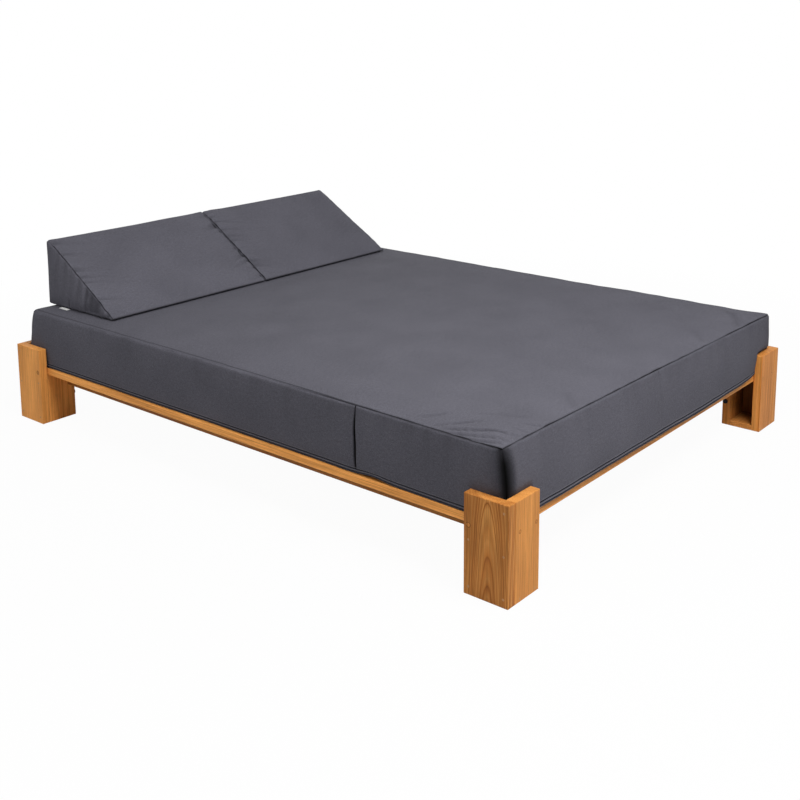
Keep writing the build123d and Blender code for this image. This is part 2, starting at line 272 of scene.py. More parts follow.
def cloth(name, colour):
    """Woven outdoor cloth with faint clouds and flecks, and painted shade that darkens it where its folds
    and seams lie in shade.
    """
    made, t, shader = new_material(name)
    panel = t.add("ShaderNodeUVMap", uv_map="cloth").outputs["UV"]
    place = t.place()
    split = t.split(panel)
    waves = [t.math("SINE", t.times(split[letter], math.pi / yarn_pitch)) for letter in "XY"]
    crossing = t.math("SIGN", t.times(*waves))
    threads = [t.times(t.math("ABSOLUTE", wave), t.line(crossing, lift, 0.75))
               for wave, lift in zip(waves, (0.25, -0.25))]
    weave = t.math("MAXIMUM", *threads)
    stretched = t.add("ShaderNodeMapping", {"Vector": panel, "Scale": slub_scales}).outputs["Vector"]
    fleck = t.noise(panel, fleck_scale, 3.0, 0.65)
    clouds = t.noise(place, cloud_scale, 3.0, 0.55)
    base = t.ramp(clouds, (0.3, toned(colour, 0.92)), (0.7, toned(colour, 1.07)))
    for value, low, high in ((t.noise(stretched), (0.3, 0.93), (0.7, 1.06)),
                             (weave, (0.35, 0.72), (0.9, 1.08)),
                             (fleck, (0.25, 0.72), (0.75, 1.28)),
                             (t.noise(panel, grain_scale), (0.3, 0.92), (0.7, 1.08))):
        base = t.shaded(base, value, low, high)
    # The painted shade, read from the cover's points
    painted_shade_mask = t.add("ShaderNodeAttribute", attribute_name="painted_shade").outputs["Fac"]
    creases = t.bump(t.noise(place, crease_scale, 3.0, bend=0.6), 0.16, 1.2 * mm)
    t.feed(shader, {"Base Color": t.mix(t.times(painted_shade_mask, 0.985), base, painted_shade_colour),
                    "Roughness": t.line(painted_shade_mask, 0.14, t.line(fleck, -0.12, 0.86)),
                    "Specular IOR Level": 0.04, "Sheen Weight": 0.02, "Sheen Roughness": 0.45,
                    "Normal": t.bump(weave, 0.35, 0.22 * mm, Normal=creases)})
    return made


def speckled(name, colour, roughness, metallic=0.0, scale=900.0, spread=0.12, gloss=0.5):
    """A finish with fine grain in its colour and height, for metal, thread, tape and filler."""
    made, t, shader = new_material(name)
    place = t.place()
    fine = t.noise(place, scale, 3.0)
    both = t.line(t.noise(place, 40.0), 0.5, t.times(fine, 0.5))
    colours = t.ramp(both, (0.3, toned(colour, 1 - spread)), (0.7, toned(colour, 1 + spread)))
    t.feed(shader, {"Base Color": colours, "Roughness": t.line(both, 0.2, roughness - 0.1),
                    "Metallic": metallic, "Specular IOR Level": gloss,
                    "Normal": t.bump(fine, 0.3, 0.1 * mm)})
    return made


mattress_cloth = cloth("mattress_cloth", cloth_colour)
wedge_cloth = cloth("wedge_cloth", toned(cloth_colour, wedge_painted_light))
thread = speckled("polyester_thread", (0.17, 0.168, 0.185), 0.6, scale=2500.0)
zip_teeth_finish = speckled("zip_coil", (0.022, 0.022, 0.026), 0.42)
screw_steel = speckled("stainless_screw", (0.50, 0.49, 0.47), 0.3, metallic=1.0)
filler_pale = speckled("wood_filler", (0.47, 0.235, 0.085), 0.7, scale=1200.0)
plain_finishes = {
    "white_tape": speckled("blank_woven_tape", (0.80, 0.80, 0.79), 0.75, scale=1600.0, spread=0.05),
    "black_steel": speckled("black_coated_steel", (0.006, 0.006, 0.007), 0.5, gloss=0.12),
    "zinc_steel": speckled("zinc_plated_steel", (0.55, 0.55, 0.53), 0.33, metallic=1.0),
}

# Sewn covers: panels are grids of points that share their edges


def unit(value):
    """A value kept from 0 to 1."""
    return np.clip(value, 0, 1)


def bell(distance, width):
    """1 at no distance, falling off smoothly on both sides."""
    return np.exp(-(distance / width) ** 2)


def fading(distance, reach):
    """1 at no distance, fading over a reach."""
    return np.exp(-distance / reach)


def in_mm(*sizes):
    """Sizes given in millimetres."""
    return tuple(size * mm for size in sizes)


def grid(first, second):
    """Two rows of places as a grid."""
    return np.meshgrid(first, second, indexing="ij")


def smooth_weights(coarse, fine):
    """Weights that carry values on coarse places to fine ones, smoothly."""
    step = coarse[1] - coarse[0]
    last = len(coarse) - 1
    where = np.clip((fine - coarse[0]) / step, 0, last - 1e-9)
    index = where.astype(int)
    t = where - index
    taps = (-0.5 * t**3 + t**2 - 0.5 * t, 1.5 * t**3 - 2.5 * t**2 + 1,
            -1.5 * t**3 + 2 * t**2 + 0.5 * t, 0.5 * t**3 - 0.5 * t**2)
    weights = np.zeros((len(fine), len(coarse)))
    rows = np.arange(len(fine))
    for offset, tap in zip((-1, 0, 1, 2), taps):
        np.add.at(weights, (rows, np.clip(index + offset, 0, last)), tap)
    return weights


def carried(values, from_u, from_v, to_u, to_v):
    """Values on a coarse grid carried to a finer one."""
    across = np.einsum("ij,jk...->ik...", smooth_weights(from_u, to_u), values)
    return np.einsum("lk,ik...->il...", smooth_weights(from_v, to_v), across)


def panel_of(points, uv, u, v, flip=False):
    """A panel: its grid of points, its cloth coordinates, its rows' places, and which way it faces."""
    return {"points": points, "uv": uv, "u": u, "v": v, "flip": flip}


def welded(panels):
    """Points, faces and corner uv of one mesh from panels that share edges. Panels get their points' ids."""
    stacked = np.concatenate([p["points"].reshape(-1, 3) for p in panels.values()])
    keys = np.round(stacked / (0.002 * mm)).astype(np.int64)
    _, first, back = np.unique(keys, axis=0, return_index=True, return_inverse=True)
    back = back.ravel()
    faces, uvs, start = [], [], 0
    for p in panels.values():
        rows, columns = p["points"].shape[:2]
        ids = p["ids"] = back[start:start + rows * columns].reshape(rows, columns)
        start += rows * columns
        corners = ((0, 0), (0, 1), (1, 1), (1, 0)) if p["flip"] else ((0, 0), (1, 0), (1, 1), (0, 1))
        quads, quad_uvs = (np.stack([values[i:rows - 1 + i, j:columns - 1 + j] for i, j in corners], 2)
                           for values in (ids, p["uv"]))
        for quad, corner_uv in zip(quads.reshape(-1, 4).tolist(), quad_uvs.reshape(-1, 4, 2)):
            kept = [k for k in range(4) if quad[k] != quad[k - 1]]
            face = [quad[k] for k in kept]
            if len(set(face)) == len(face) >= 3:
                faces.append(face)
                uvs.extend(corner_uv[kept])
    return stacked[first], faces, np.array(uvs)


def placed(name, data):
    """A new object of the scene, at the origin."""
    made = bpy.data.objects.new(name, data)
    bpy.context.scene.collection.objects.link(made)
    return made


def mesh_object(name, points, faces=(), edges=(), material=None, uvs=None, smooth=True):
    """A mesh object at the origin."""
    mesh = bpy.data.meshes.new(name)
    mesh.from_pydata([tuple(p) for p in points], edges, faces, shade_flat=not smooth)
    if material:
        mesh.materials.append(material)
    if uvs is not None:
        layer = mesh.uv_layers.new(name="cloth")
        layer.data.foreach_set("uv", np.asarray(uvs, np.float32).ravel())
    mesh.update()
    return placed(name, mesh)


def point_values(thing, field="co"):
    """A mesh's points, or their normals, as an array."""
    flat = np.zeros(len(thing.data.vertices) * 3)
    thing.data.vertices.foreach_get(field, flat)
    return flat.reshape(-1, 3)


def discard(thing):
    """Take an object and its mesh away."""
    mesh = thing.data
    bpy.data.objects.remove(thing)
    bpy.data.meshes.remove(mesh)


cloth_frames = 20
cloth_settings = {
    "quality": 6, "mass": 0.25, "tension_stiffness": 22, "compression_stiffness": 22, "shear_stiffness": 9,
    "bending_stiffness": 0.12, "air_damping": 2.0, "vertex_group_mass": "held",
    "vertex_group_shrink": "drawn", "shrink_max": 0.004, "use_pressure": True, "uniform_pressure_force": 4.0,
}


def filled(panels, held, drawn, slack):
    """A cover's points, and their moves when its stuffing presses it out and its seams draw in.

    held and drawn name the panels and the parts of their grids that stay in place and that draw in.
    slack is how much wider the cloth is than its pattern, as a share.
    """
    points, faces, _ = welded(panels)
    sewn = mesh_object("sewn_cover_trial", points, faces)
    for name, parts in (("held", held), ("drawn", drawn)):
        ids = np.unique(np.concatenate([panels[panel]["ids"][where].ravel() for panel, where in parts]))
        sewn.vertex_groups.new(name=name).add(ids.tolist(), 1.0, "REPLACE")
    modifier = sewn.modifiers.new("cloth", "CLOTH")
    for name, value in cloth_settings.items():
        setattr(modifier.settings, name, value)
    modifier.settings.shrink_min = -slack
    modifier.settings.effector_weights.gravity = 0.0
    modifier.collision_settings.use_collision = False
    modifier.point_cache.frame_start = 1
    modifier.point_cache.frame_end = cloth_frames
    for step in range(1, cloth_frames + 1):
        bpy.context.scene.frame_set(step)
    after = point_values(sewn.evaluated_get(bpy.context.evaluated_depsgraph_get()))
    discard(sewn)
    bpy.context.scene.frame_set(1)
    return points, after - points


def by_panel(panels, moves, cap):
    """Each panel's moves on its grid, shortened smoothly so that none is longer than the cap."""
    length = np.linalg.norm(moves, axis=-1, keepdims=True)
    moves = moves / (1 + (length / cap) ** 3) ** (1 / 3)
    return {name: (p["u"], p["v"], moves[p["ids"]]) for name, p in panels.items()}


def ripple(places, pitch, seed):
    """A smooth random line with one swell per pitch, about -1 to 1."""
    low = places.min()
    count = int((places.max() - low) / pitch) + 6
    knots = np.random.default_rng(seed).uniform(-1, 1, count)
    where = (places - low) / pitch + 1
    index = where.astype(int)
    t = where - index
    a, b, c, d = (knots[np.clip(index + k, 0, count - 1)] for k in (-1, 0, 1, 2))
    return b + 0.5 * t * (c - a + t * (2 * a - 5 * b + 4 * c - d + t * (3 * (b - c) + d - a)))


def swells(u, v, pitch, seed):
    """Smooth random height over a grid, one swell per pitch, about -1 to 1."""
    coarse_u, coarse_v = (np.arange(p.min(), p.max() + pitch * 2, pitch) for p in (u, v))
    values = np.random.default_rng(seed).uniform(-1, 1, (len(coarse_u), len(coarse_v)))
    return carried(values, coarse_u, coarse_v, u, v)


def heading(start, end):
    """The direction from one place to another."""
    return (end - start) / np.linalg.norm(end - start)


def crease(x, y, start, end, height, width):
    """A ridge along a line on a panel, faded at its ends."""
    start, end = np.array(start), np.array(end)
    along = heading(start, end)
    far = (x - start[0]) * along[0] + (y - start[1]) * along[1]
    off = (x - start[0]) * -along[1] + (y - start[1]) * along[0]
    fade = unit(1.8 * np.sin(unit(far / np.linalg.norm(end - start)) * math.pi))
    return height * bell(off, width) * fade


def step_places(low, high, step, near_low, near_high, extra=()):
    """Places from low to high at about a step, with closer ones by the ends and at extra places."""
    count = max(2, int(round((high - low) / step)))
    close = [low + d for d in near_low] + [high - d for d in near_high] + list(extra)
    kept = [p for p in np.linspace(low, high, count + 1) if all(abs(p - c) > step * 0.45 for c in close)]
    return np.array(sorted({*kept, *close, low, high}))


# Mattress
seam_z = cover_high.z - 6 * mm
base_z = cover_low.z
side_height = seam_z - base_z
mattress_x = cover_high.x
mattress_y = cover_high.y
crown = 4.8 * mm
mattress_slack = 0.006
mattress_coarse = (97, 127, 13)
mattress_longest_move = 7 * mm
mattress_step = 12 * mm
band_step = 9 * mm
bottom_tuck = 5 * mm
seam_tuck = 2.5 * mm
side_draw = 3 * mm
side_bulge = 7 * mm
corner_low = 10 * mm
slit_y = -0.516
foot_seam_x = 0.004
zip_height = 5 * mm
hem_height = 12 * mm
stitch_rows = {"low_stitch": 8.4 * mm, "high_stitch": 15.6 * mm}
edge_rows = in_mm(0, 1.1, 2.3, 4, 7, 11, 16, 22, 29, 37, 46)
seam_rows = in_mm(-3, -1.2, 0, 1.2, 3)
slit_rows = in_mm(-24, -15, -9, -5, -3, -1.8, -0.9, 0, 0.9, 1.8, 3, 5, 9, 15, 24)
band_rows = in_mm(0, 1.5, 3, 4.2, 5, 5.8, 7, 8.4, 10, 11.3, 12, 12.7, 14, 15.6, 18, 24, 32)
# Each upright corner's rounding in the middle and at the top, and the depth of its crease
upright_corners = {
    (-1, -1): in_mm(9, 7, 9.0),
    (1, -1): in_mm(13, 8, 3.5),
    (-1, 1): in_mm(28, 40, 0.0),
    (1, 1): in_mm(20, 10, 1.5),
}


def by_corner(x, y, index):
    """The rounding that belongs to the nearest upright corner."""
    picked = np.zeros(np.broadcast(x, y).shape)
    for (sx, sy), values in upright_corners.items():
        picked = np.where((np.sign(x) == sx) & (np.sign(y) == sy), values[index], picked)
    return np.maximum(picked, 1 * mm)


def plan_place(x, y, inset, radius):
    """A place on the mattress's rectangle moved to its rounded, drawn-in outline."""
    x_half = mattress_x - inset - side_draw * (1 - (y / mattress_y) ** 2)
    y_half = mattress_y - inset - side_draw * (1 - (x / mattress_x) ** 2)
    ax = np.abs(x) / mattress_x * x_half
    ay = np.abs(y) / mattress_y * y_half
    dx = unit((ax - (x_half - radius)) / radius)
    dy = unit((ay - (y_half - radius)) / radius)
    more, less = np.maximum(dx, dy), np.minimum(dx, dy)
    turn = math.pi / 4 * np.divide(less, more, out=np.zeros_like(more), where=more > 0)
    reach_more, reach_less = more * np.cos(turn), more * np.sin(turn)
    both = (dx > 0) & (dy > 0)
    ax = np.where(both, x_half - radius + radius * np.where(dx >= dy, reach_more, reach_less), ax)
    ay = np.where(both, y_half - radius + radius * np.where(dx >= dy, reach_less, reach_more), ay)
    return np.sign(x) * ax, np.sign(y) * ay


def edge_inset(h):
    """How far the side draws in by its lower and upper edges."""
    return bottom_tuck * fading(h, 6 * mm) + seam_tuck * fading(side_height - h, 6 * mm)


def side_shape(x, y, z):
    """A place on the mattress's side band."""
    h = z - base_z
    middle, top = by_corner(x, y, 0), by_corner(x, y, 1)
    over_leg = unit((z - leg_high.z + 20 * mm) / (60 * mm))
    radius = corner_low + (middle - corner_low) * over_leg
    radius = radius + (top - radius) * fading(side_height - h, 25 * mm)
    px, py = plan_place(x, y, edge_inset(h), radius)
    return np.stack([px, py, z + 0 * px], -1)


def top_shape(x, y):
    """A place on the mattress's top."""
    px, py = plan_place(x, y, edge_inset(side_height), by_corner(x, y, 1))
    return np.stack([px, py, seam_z + crown * (1 - fading(edge_distance(x, y), 55 * mm))], -1)


def bottom_shape(x, y):
    """A place on the mattress's underside."""
    radius = corner_low + (by_corner(x, y, 1) - corner_low) * fading(side_height, 25 * mm)
    px, py = plan_place(x, y, edge_inset(0.0), radius)
    return np.stack([px, py, base_z + 0 * px], -1)


def edge_distance(x, y):
    """How far a place on the top or underside is from the mattress's nearest edge."""
    return np.minimum(mattress_x - np.abs(x), mattress_y - np.abs(y))


def mattress_panels(xs, ys, zs):
    """The six panels of the mattress cover on given places."""
    x, y = grid(xs, ys)
    panels = {"top": panel_of(top_shape(x, y), np.stack([x, y], -1), xs, ys),
              "bottom": panel_of(bottom_shape(x, y), np.stack([x, y], -1), xs, ys, True)}
    y, z = grid(ys, zs)
    for name, side in (("left", -1), ("right", 1)):
        points = side_shape(side * mattress_x + 0 * y, y, z)
        panels[name] = panel_of(points, np.stack([y, z], -1), ys, zs, side < 0)
    x, z = grid(xs, zs)
    for name, end in (("foot", -1), ("head", 1)):
        points = side_shape(x, end * mattress_y + 0 * x, z)
        panels[name] = panel_of(points, np.stack([x, z], -1), xs, zs, end > 0)
    return panels


def mattress_moves():
    """How the filled cover moves off its pattern, on a coarse grid of each panel."""
    across, along, up = mattress_coarse
    panels = mattress_panels(np.linspace(-mattress_x, mattress_x, across),
                             np.linspace(-mattress_y, mattress_y, along), np.linspace(base_z, seam_z, up))
    drawn = (("top", np.s_[[0, -1]]), ("top", np.s_[:, [0, -1]]))
    _, moves = filled(panels, (("bottom", np.s_[:]),), drawn, mattress_slack)
    return by_panel(panels, moves, mattress_longest_move)


# Creases on the top that run off the foot edge, most of them by its left corner:
# start and end places, and height and width in mm
corner_creases = (
    ((-0.735, -0.702), (-0.660, -0.772), 1.0, 9),
    ((-0.756, -0.760), (-0.655, -0.872), 1.4, 6),
    ((-0.756, -0.785), (-0.662, -0.992), 2.5, 5.5),
    ((-0.762, -0.825), (-0.709, -0.995), 2.5, 5),
    ((-0.766, -0.880), (-0.738, -0.993), 2.2, 4.5),
    ((-0.640, -0.940), (-0.632, -1.002), 0.9, 5.5),
    ((-0.598, -0.945), (-0.572, -1.002), 0.9, 5.5),
    ((-0.640, -0.800), (-0.545, -0.960), 0.6, 12),
    ((0.560, -0.990), (0.700, -0.900), 1.3, 14),
    ((0.600, -0.990), (0.745, -0.830), 1.0, 16),
    ((0.330, -0.985), (0.420, -0.900), 0.8, 16),
    ((-0.420, -0.990), (-0.330, -0.900), 0.7, 14),
)
puff_place = 6 * mm
edge_roll = 4.5 * mm


def valley(distance, share=1.0):
    """The narrow dip where two sewn panels meet."""
    return share * (3.4 * mm * bell(distance, 1.5 * mm) + 0.9 * mm * bell(distance, 5 * mm))


def top_seam(distance, puff, fade):
    """Height by the top seam: the cloth puffs up beside the dip, and rolls over where the dip fades."""
    puffed = puff * bell(distance - puff_place, 5 * mm)
    return puffed - edge_roll * (1 - fade) * fading(distance, 9 * mm) - valley(distance, fade)


def seam_shade(distance, width):
    """How much painted shade a sewn seam gets at a distance from its middle."""
    return unit(1.9 * bell(distance, width))


def head_fade(y):
    """The top seam is crisp at the foot and lies flatter towards the head."""
    return 1 - 0.88 * unit((y + 0.55) / 0.6)


def seam_shade_share(y):
    """How strong the painted shade on the long sides' top seam is: dark by the foot and a faint thin line
    towards the head.
    """
    return 0.42 + 0.58 * fading(np.clip(y + 0.93, 0, None), 0.42)


def seam_slide(y):
    """How far in over the top the painted shade of the long sides' seam is drawn, where the edge rolls down.
    """
    share = unit((y + 0.72) / 0.75)
    return 11 * mm * share**2 * (3 - 2 * share)


def top_relief(xs, ys):
    """Height of the top's swells, creases and seam valleys, and how much painted shade it gets along its
    seams and in the dips beside its creases.
    """
    x, y = grid(xs, ys)
    edge = edge_distance(x, y)
    free = unit((wedge_low.y - 0.05 - y) / 0.1)
    rise = 1.3 * mm * swells(xs, ys, 0.23, 3) + 0.5 * mm * swells(xs, ys, 0.075, 4)
    groove = 0.0
    for start, end, height, width in corner_creases:
        beside = [(px - 7 * mm, py - 4 * mm) for px, py in (start, end)]
        rise += crease(x, y, start, end, height * 0.8 * mm, width * mm)
        rise -= crease(x, y, *beside, height * 1.3 * mm, width * 0.9 * mm)
        # Painted shade in the dip beside each crease
        groove = np.maximum(groove, crease(x, y, *beside, height * 0.13, width * 0.8 * mm))
    gathers = 0.0
    for inward, line, pitch, seed, reach, height in ((mattress_y + y, x, 0.029, 11, 0.04, 1.0),
                                                     (mattress_x + x, y, 0.043, 12, 0.03, 0.7),
                                                     (mattress_x - x, y, 0.04, 13, 0.03, 0.8)):
        gathers += ripple(line, pitch, seed) * fading(inward, reach) * height
    by_foot = mattress_y + y < mattress_x - np.abs(x)
    fade = np.where(by_foot, 1.0, head_fade(y))
    tone = np.where(by_foot, 1.0, seam_shade_share(y))
    wide = np.where(by_foot, 1.8 * mm, (1.3 + 1.4 * tone) * mm)
    line = edge - np.where(by_foot, 0, seam_slide(y))
    rise = (rise + gathers * mm) * free + top_seam(edge, 0.8 * mm, fade)
    return rise, np.maximum(tone * seam_shade(line, wide), groove * free)


side_seeds = {"left": 21, "right": 31, "foot": 41, "head": 51}


def side_relief(name, us, zs):
    """Height of a side band's bulge, gathers, zip, hem and slit, and how much painted shade it gets in its
    seams, gathers, corner creases and slit and under its hem.
    """
    u, z = grid(us, zs)
    h = z - base_z
    down = seam_z - z
    share = h / side_height
    long_side = name in ("left", "right")
    seed = side_seeds[name]
    wave_seed = seed + 2
    belly = np.sin(unit(share) * math.pi)
    from_corner = (mattress_y if long_side else mattress_x) - np.abs(u)
    gather = ripple(u, 0.024, seed + 1) * (fading(down, 0.05) * (1 - fading(down, 0.004)))
    rise = side_bulge * belly**0.8
    rise += 1.2 * mm * swells(us, zs, 0.17, seed) * unit(from_corner / 0.05)
    rise += gather * (2.3 if name == "foot" else 1.5) * mm
    for line, pitch, where, height in ((u + 0.25 * down, 0.06, bell(share - 0.45, 0.35), 1.6),
                                       (u, 0.033, fading(h, 0.05) * (1 - fading(h, 0.01)), 0.9),
                                       (u, 0.021, fading(from_corner, 0.06) * belly, 2.0)):
        rise += ripple(line, pitch, wave_seed) * where * height * mm
        wave_seed += 1
    rise += top_seam(down, 0.9 * mm, head_fade(u) if long_side else 1.0)
    # Painted shade along the top seam
    if long_side:
        tone = seam_shade_share(u)
        painted_shade = tone * seam_shade(down, (1.2 + 1.1 * tone) * mm) * unit(1 - seam_slide(u) / (3 * mm))
    else:
        painted_shade = seam_shade(down, 1.7 * mm)
    # Painted shade in the troughs of the gathers under the top seam
    painted_shade = np.maximum(painted_shade, 0.13 * unit(-gather))
    # The zip and the hem's seam above it, with painted shade along both, and painted shade under the hem
    for height, depth in ((zip_height, 2.0), (hem_height, 1.4)):
        rise -= depth * mm * bell(h - height, 0.9 * mm)
        painted_shade = np.maximum(painted_shade, 0.85 * seam_shade(h - height, 1.2 * mm))
    painted_shade = np.maximum(painted_shade, 0.8 * bell(h, 2.0 * mm))
    # Each upright corner draws in along a crease, with a low swell beside it and a band of painted shade
    # along the crease
    for end in (-1, 1):
        corner = {"left": (-1, end), "right": (1, end), "foot": (end, -1), "head": (end, 1)}[name]
        depth = upright_corners[corner][2]
        here = (np.sign(u) == end) * (unit(share * 3) * (0.55 + 0.45 * unit(down / 0.04)))
        rise -= 1.2 * depth * here * bell(from_corner, 15 * mm)
        rise += 0.4 * depth * here * bell(from_corner - 30 * mm, 15 * mm)
        core, wide, power = (7 * mm, 25 * mm, 1.5) if name == "foot" else (9 * mm, 17 * mm, 1.3)
        shade = np.exp(-(np.clip(from_corner - core, 0, None) / wide) ** power)
        painted_shade = np.maximum(painted_shade, here**0.5 * min(1, (depth / (9 * mm)) ** 1.3) * shade)
    above_zip = unit((h - hem_height) / (4 * mm))
    # An open slit with one edge standing out, and painted shade in its gap
    if name == "left":
        open_share = 0.35 + 0.65 * np.sin(unit(share * 1.1) * math.pi) ** 0.7
        sway = 1.1 * mm * np.sin(share * 11)
        gap = bell(u - slit_y - sway * open_share, 2.9 * mm * (0.4 + open_share)) * above_zip
        flap = unit((slit_y - u) / (4 * mm)) * fading(slit_y - u, 30 * mm) * (u < slit_y)
        rise += 2.2 * mm * flap * above_zip
        rise -= 6.0 * mm * open_share * gap
        painted_shade = np.maximum(painted_shade, unit(1.8 * gap))
    # An upright seam in the middle, with painted shade along it, darkest at the top
    if name == "foot":
        seam = bell(u - foot_seam_x, 1.3 * mm) * above_zip
        rise -= 0.5 * mm * seam
        painted_shade = np.maximum(painted_shade, (0.1 + 0.7 * fading(down, 16 * mm)) * seam)
    return rise, painted_shade


lifted_middle = -0.575


def settled(points):
    """The cover as it lies: hem out over the deck's edge at the foot, side bulging over the far leg."""
    x, y, z = points.T.copy()
    h = z - base_z
    share = unit(h / side_height)
    belly = np.sin(share * math.pi)
    low = fading(h, 25 * mm)
    place = x / leg_inner_x
    near_foot = fading(np.clip(mattress_y + y, 0, None), 60 * mm)
    at_foot = unit(-y / mattress_y) ** 2
    out = 10 + 13 * (1 - unit(np.abs(place)) ** 6) * (0.86 + 0.14 * place)
    over_leg = bell(x - leg_inner_x, 50 * mm) * bell(z - leg_high.z - 6 * mm, 60 * mm)
    # The foot leans out, more to the right, and its hem hangs out over the deck's edge
    y -= (1.5 + 11.5 * x / mattress_x) * mm * at_foot * share
    y -= (out * (1 - share) ** 1.3 + 6 * over_leg) * mm * near_foot
    past_edge = unit((-y - pocket_y) / (5 * mm))
    # The hem sags where it is past the edge, and is pushed up beside the right leg
    z -= 4.5 * mm * bell(x - 0.25, 0.28) * past_edge * low
    z += 6 * mm * bell(x - leg_inner_x - 7 * mm, 35 * mm) * near_foot * low
    # The foot's two corners stand out
    x += np.sign(x) * 4 * mm * at_foot * unit(np.abs(x) / mattress_x) ** 4
    x += 3 * mm * bell(np.hypot(x - mattress_x, y + mattress_y), 0.15) * belly
    y -= 6 * mm * bell(np.hypot(x + mattress_x, y + mattress_y), 0.12) * belly
    # A stretch of the left hem is lifted
    lifted = bell(y - lifted_middle, 0.05) * fading(h, 20 * mm)
    z += 7.5 * mm * lifted * unit(-x / mattress_x) ** 12
    return np.stack([x, y, z], -1)


def held_by_legs(points):
    """Points kept inside the four leg pockets."""
    x, y, z = points.T.copy()
    clear = 0.6 * mm
    rise = np.clip((z - leg_high.z - 2 * mm) / (10 * mm), 0, None)
    ease = rise**2 * 20 * mm
    limit_x = np.where(np.abs(y) > leg_inner_y - 2 * mm, pocket_x - clear + ease, 1.0)
    limit_y = np.where(np.abs(x) > leg_inner_x - 2 * mm, pocket_y - clear + ease, 2.0)
    x = np.sign(x) * np.minimum(np.abs(x), limit_x)
    y = np.sign(y) * np.minimum(np.abs(y), limit_y)
    return np.stack([x, y, z], -1)


def top_limited(points):
    """The top kept level under the wedges and softly limited elsewhere."""
    x, y, z = points.T.copy()
    start = cover_high.z - 0.1 * mm - 1 * mm
    room = 5 * mm * unit((wedge_low.y - 0.02 - y) / 0.1) + 1 * mm
    over = np.clip(z - start, 0, None)
    z = np.where(over > 0, start + room * (1 - fading(over, room)), z)
    return np.stack([x, y, np.maximum(z, base_z)], -1)


def sewn_cover(name, material, panels, moves, relief_of, finish_points):
    """A cover from its panels: moved by its filling, given its relief and settled, with its painted shade on
    its points.
    """
    for part, (coarse_u, coarse_v, moved) in moves.items():
        panel = panels[part]
        panel["points"] = panel["points"] + carried(moved, coarse_u, coarse_v, panel["u"], panel["v"])
    points, faces, uvs = welded(panels)
    relief = np.zeros(len(points))
    painted_shade = np.zeros(len(points))
    for part, panel in panels.items():
        if part != "bottom":
            relief[panel["ids"]], painted_shade[panel["ids"]] = relief_of(part, panel, points)
    trial = mesh_object("relief_trial", points, faces)
    points = finish_points(points + point_values(trial, "normal") * relief[:, None])
    discard(trial)
    cover = mesh_object(name, points, faces, material=material, uvs=uvs)
    # The painted shade goes on the points as an attribute, for the cloth's colour
    depth = cover.data.attributes.new("painted_shade", "FLOAT", "POINT")
    depth.data.foreach_set("value", painted_shade.astype(np.float32))
    return cover


# Rows of points are closer by the foot's left corner, where the creases are, as offsets in mm
# from the edges. Where the legs reach in, they have rows of their own.
leg_reach = 102
close_x = [d for d in range(52, 225, 3) if abs(d - leg_reach) > 18]
close_y = [d for d in range(52, 330, 4) if abs(d - leg_reach) > 16]
close_right = range(54, 90, 7)


def both_sides(middle, offsets):
    """Places at offsets in mm from a middle, and the same on the other side."""
    return [side * (middle + d * mm) for side in (-1, 1) for d in offsets]


def make_mattress():
    """The mattress in its sewn cover, with the rows that its zip and stitches follow."""
    xs = step_places(-mattress_x, mattress_x, mattress_step, edge_rows, edge_rows,
                     [foot_seam_x + d for d in seam_rows]
                     + both_sides(leg_inner_x, (-16, -9, -5, -2.5, 0, 3, 8))
                     + both_sides(mattress_x, (-5.5, -9, -12.8))
                     + [-mattress_x + d * mm for d in close_x] + [mattress_x - d * mm for d in close_right])
    ys = step_places(-mattress_y, mattress_y, mattress_step, edge_rows, edge_rows,
                     [slit_y + d for d in slit_rows]
                     + both_sides(leg_inner_y, (-14, -7, -3, 0, 4, 9))
                     + [-mattress_y + d * mm for d in close_y])
    zs = step_places(base_z, seam_z, band_step, band_rows, edge_rows[:7])
    panels = mattress_panels(xs, ys, zs)

    def relief_of(part, panel, _):
        return top_relief(xs, ys) if part == "top" else side_relief(part, panel["u"], panel["v"])

    def finish_points(points):
        return held_by_legs(settled(top_limited(points)))

    cover = sewn_cover("mattress_cover_sewn", mattress_cloth, panels, mattress_moves(), relief_of,
                       finish_points)
    rows = {}
    for row, height in (("zip", zip_height), *stitch_rows.items()):
        column = int(np.argmin(np.abs(zs - base_z - height)))
        foot, right, head, left = (panels[side]["ids"][:, column]
                                   for side in ("foot", "right", "head", "left"))
        rows[row] = np.concatenate([foot, right[1:], head[::-1][1:], left[::-1][1:-1]])
    return cover, rows


# Wedge cushions: slope, back and bottom panels, and two end panels
toe_y = wedge_low.y - 3 * mm
heel_y = wedge_high.y - 4 * mm
apex_y = wedge_high.y - 11 * mm
apex_z = wedge_high.z + 1.5 * mm
toe_round = 9 * mm
heel_round = 13 * mm
apex_round = 13 * mm
face_crown = 3 * mm
end_tuck = 2 * mm
slope_length = 0.43
back_length = 0.23
bottom_length = 0.37
wedge_zip = 16 * mm
wedge_zip_ends = 45 * mm
wedge_slack = 0.007
wedge_coarse = (61, 41, 23)
wedge_longest_move = 5 * mm
wedge_steps = in_mm(5.5, 3.6, 5)
wedge_gap = 0.3 * mm


def bent(first, corner, last):
    """A round corner between two edges."""
    t = np.linspace(0, 1, 9)[:, None]
    return first * (1 - t) ** 2 + corner * 2 * t * (1 - t) + last * t**2


def bowed(first, last):
    """An edge that stands out a little between its ends."""
    t = np.linspace(0, 1, 60)[:, None]
    along = heading(first, last)
    out = np.array([-along[1], along[0]])
    return first * (1 - t) + last * t + out * face_crown * 4 * t * (1 - t)


def spaced(path, shares):
    """Points at shares of a path's length."""
    steps = np.concatenate([[0], np.cumsum(np.linalg.norm(np.diff(path, axis=0), axis=1))])
    return np.stack([np.interp(shares * steps[-1], steps, path[:, k]) for k in (0, 1)], -1)


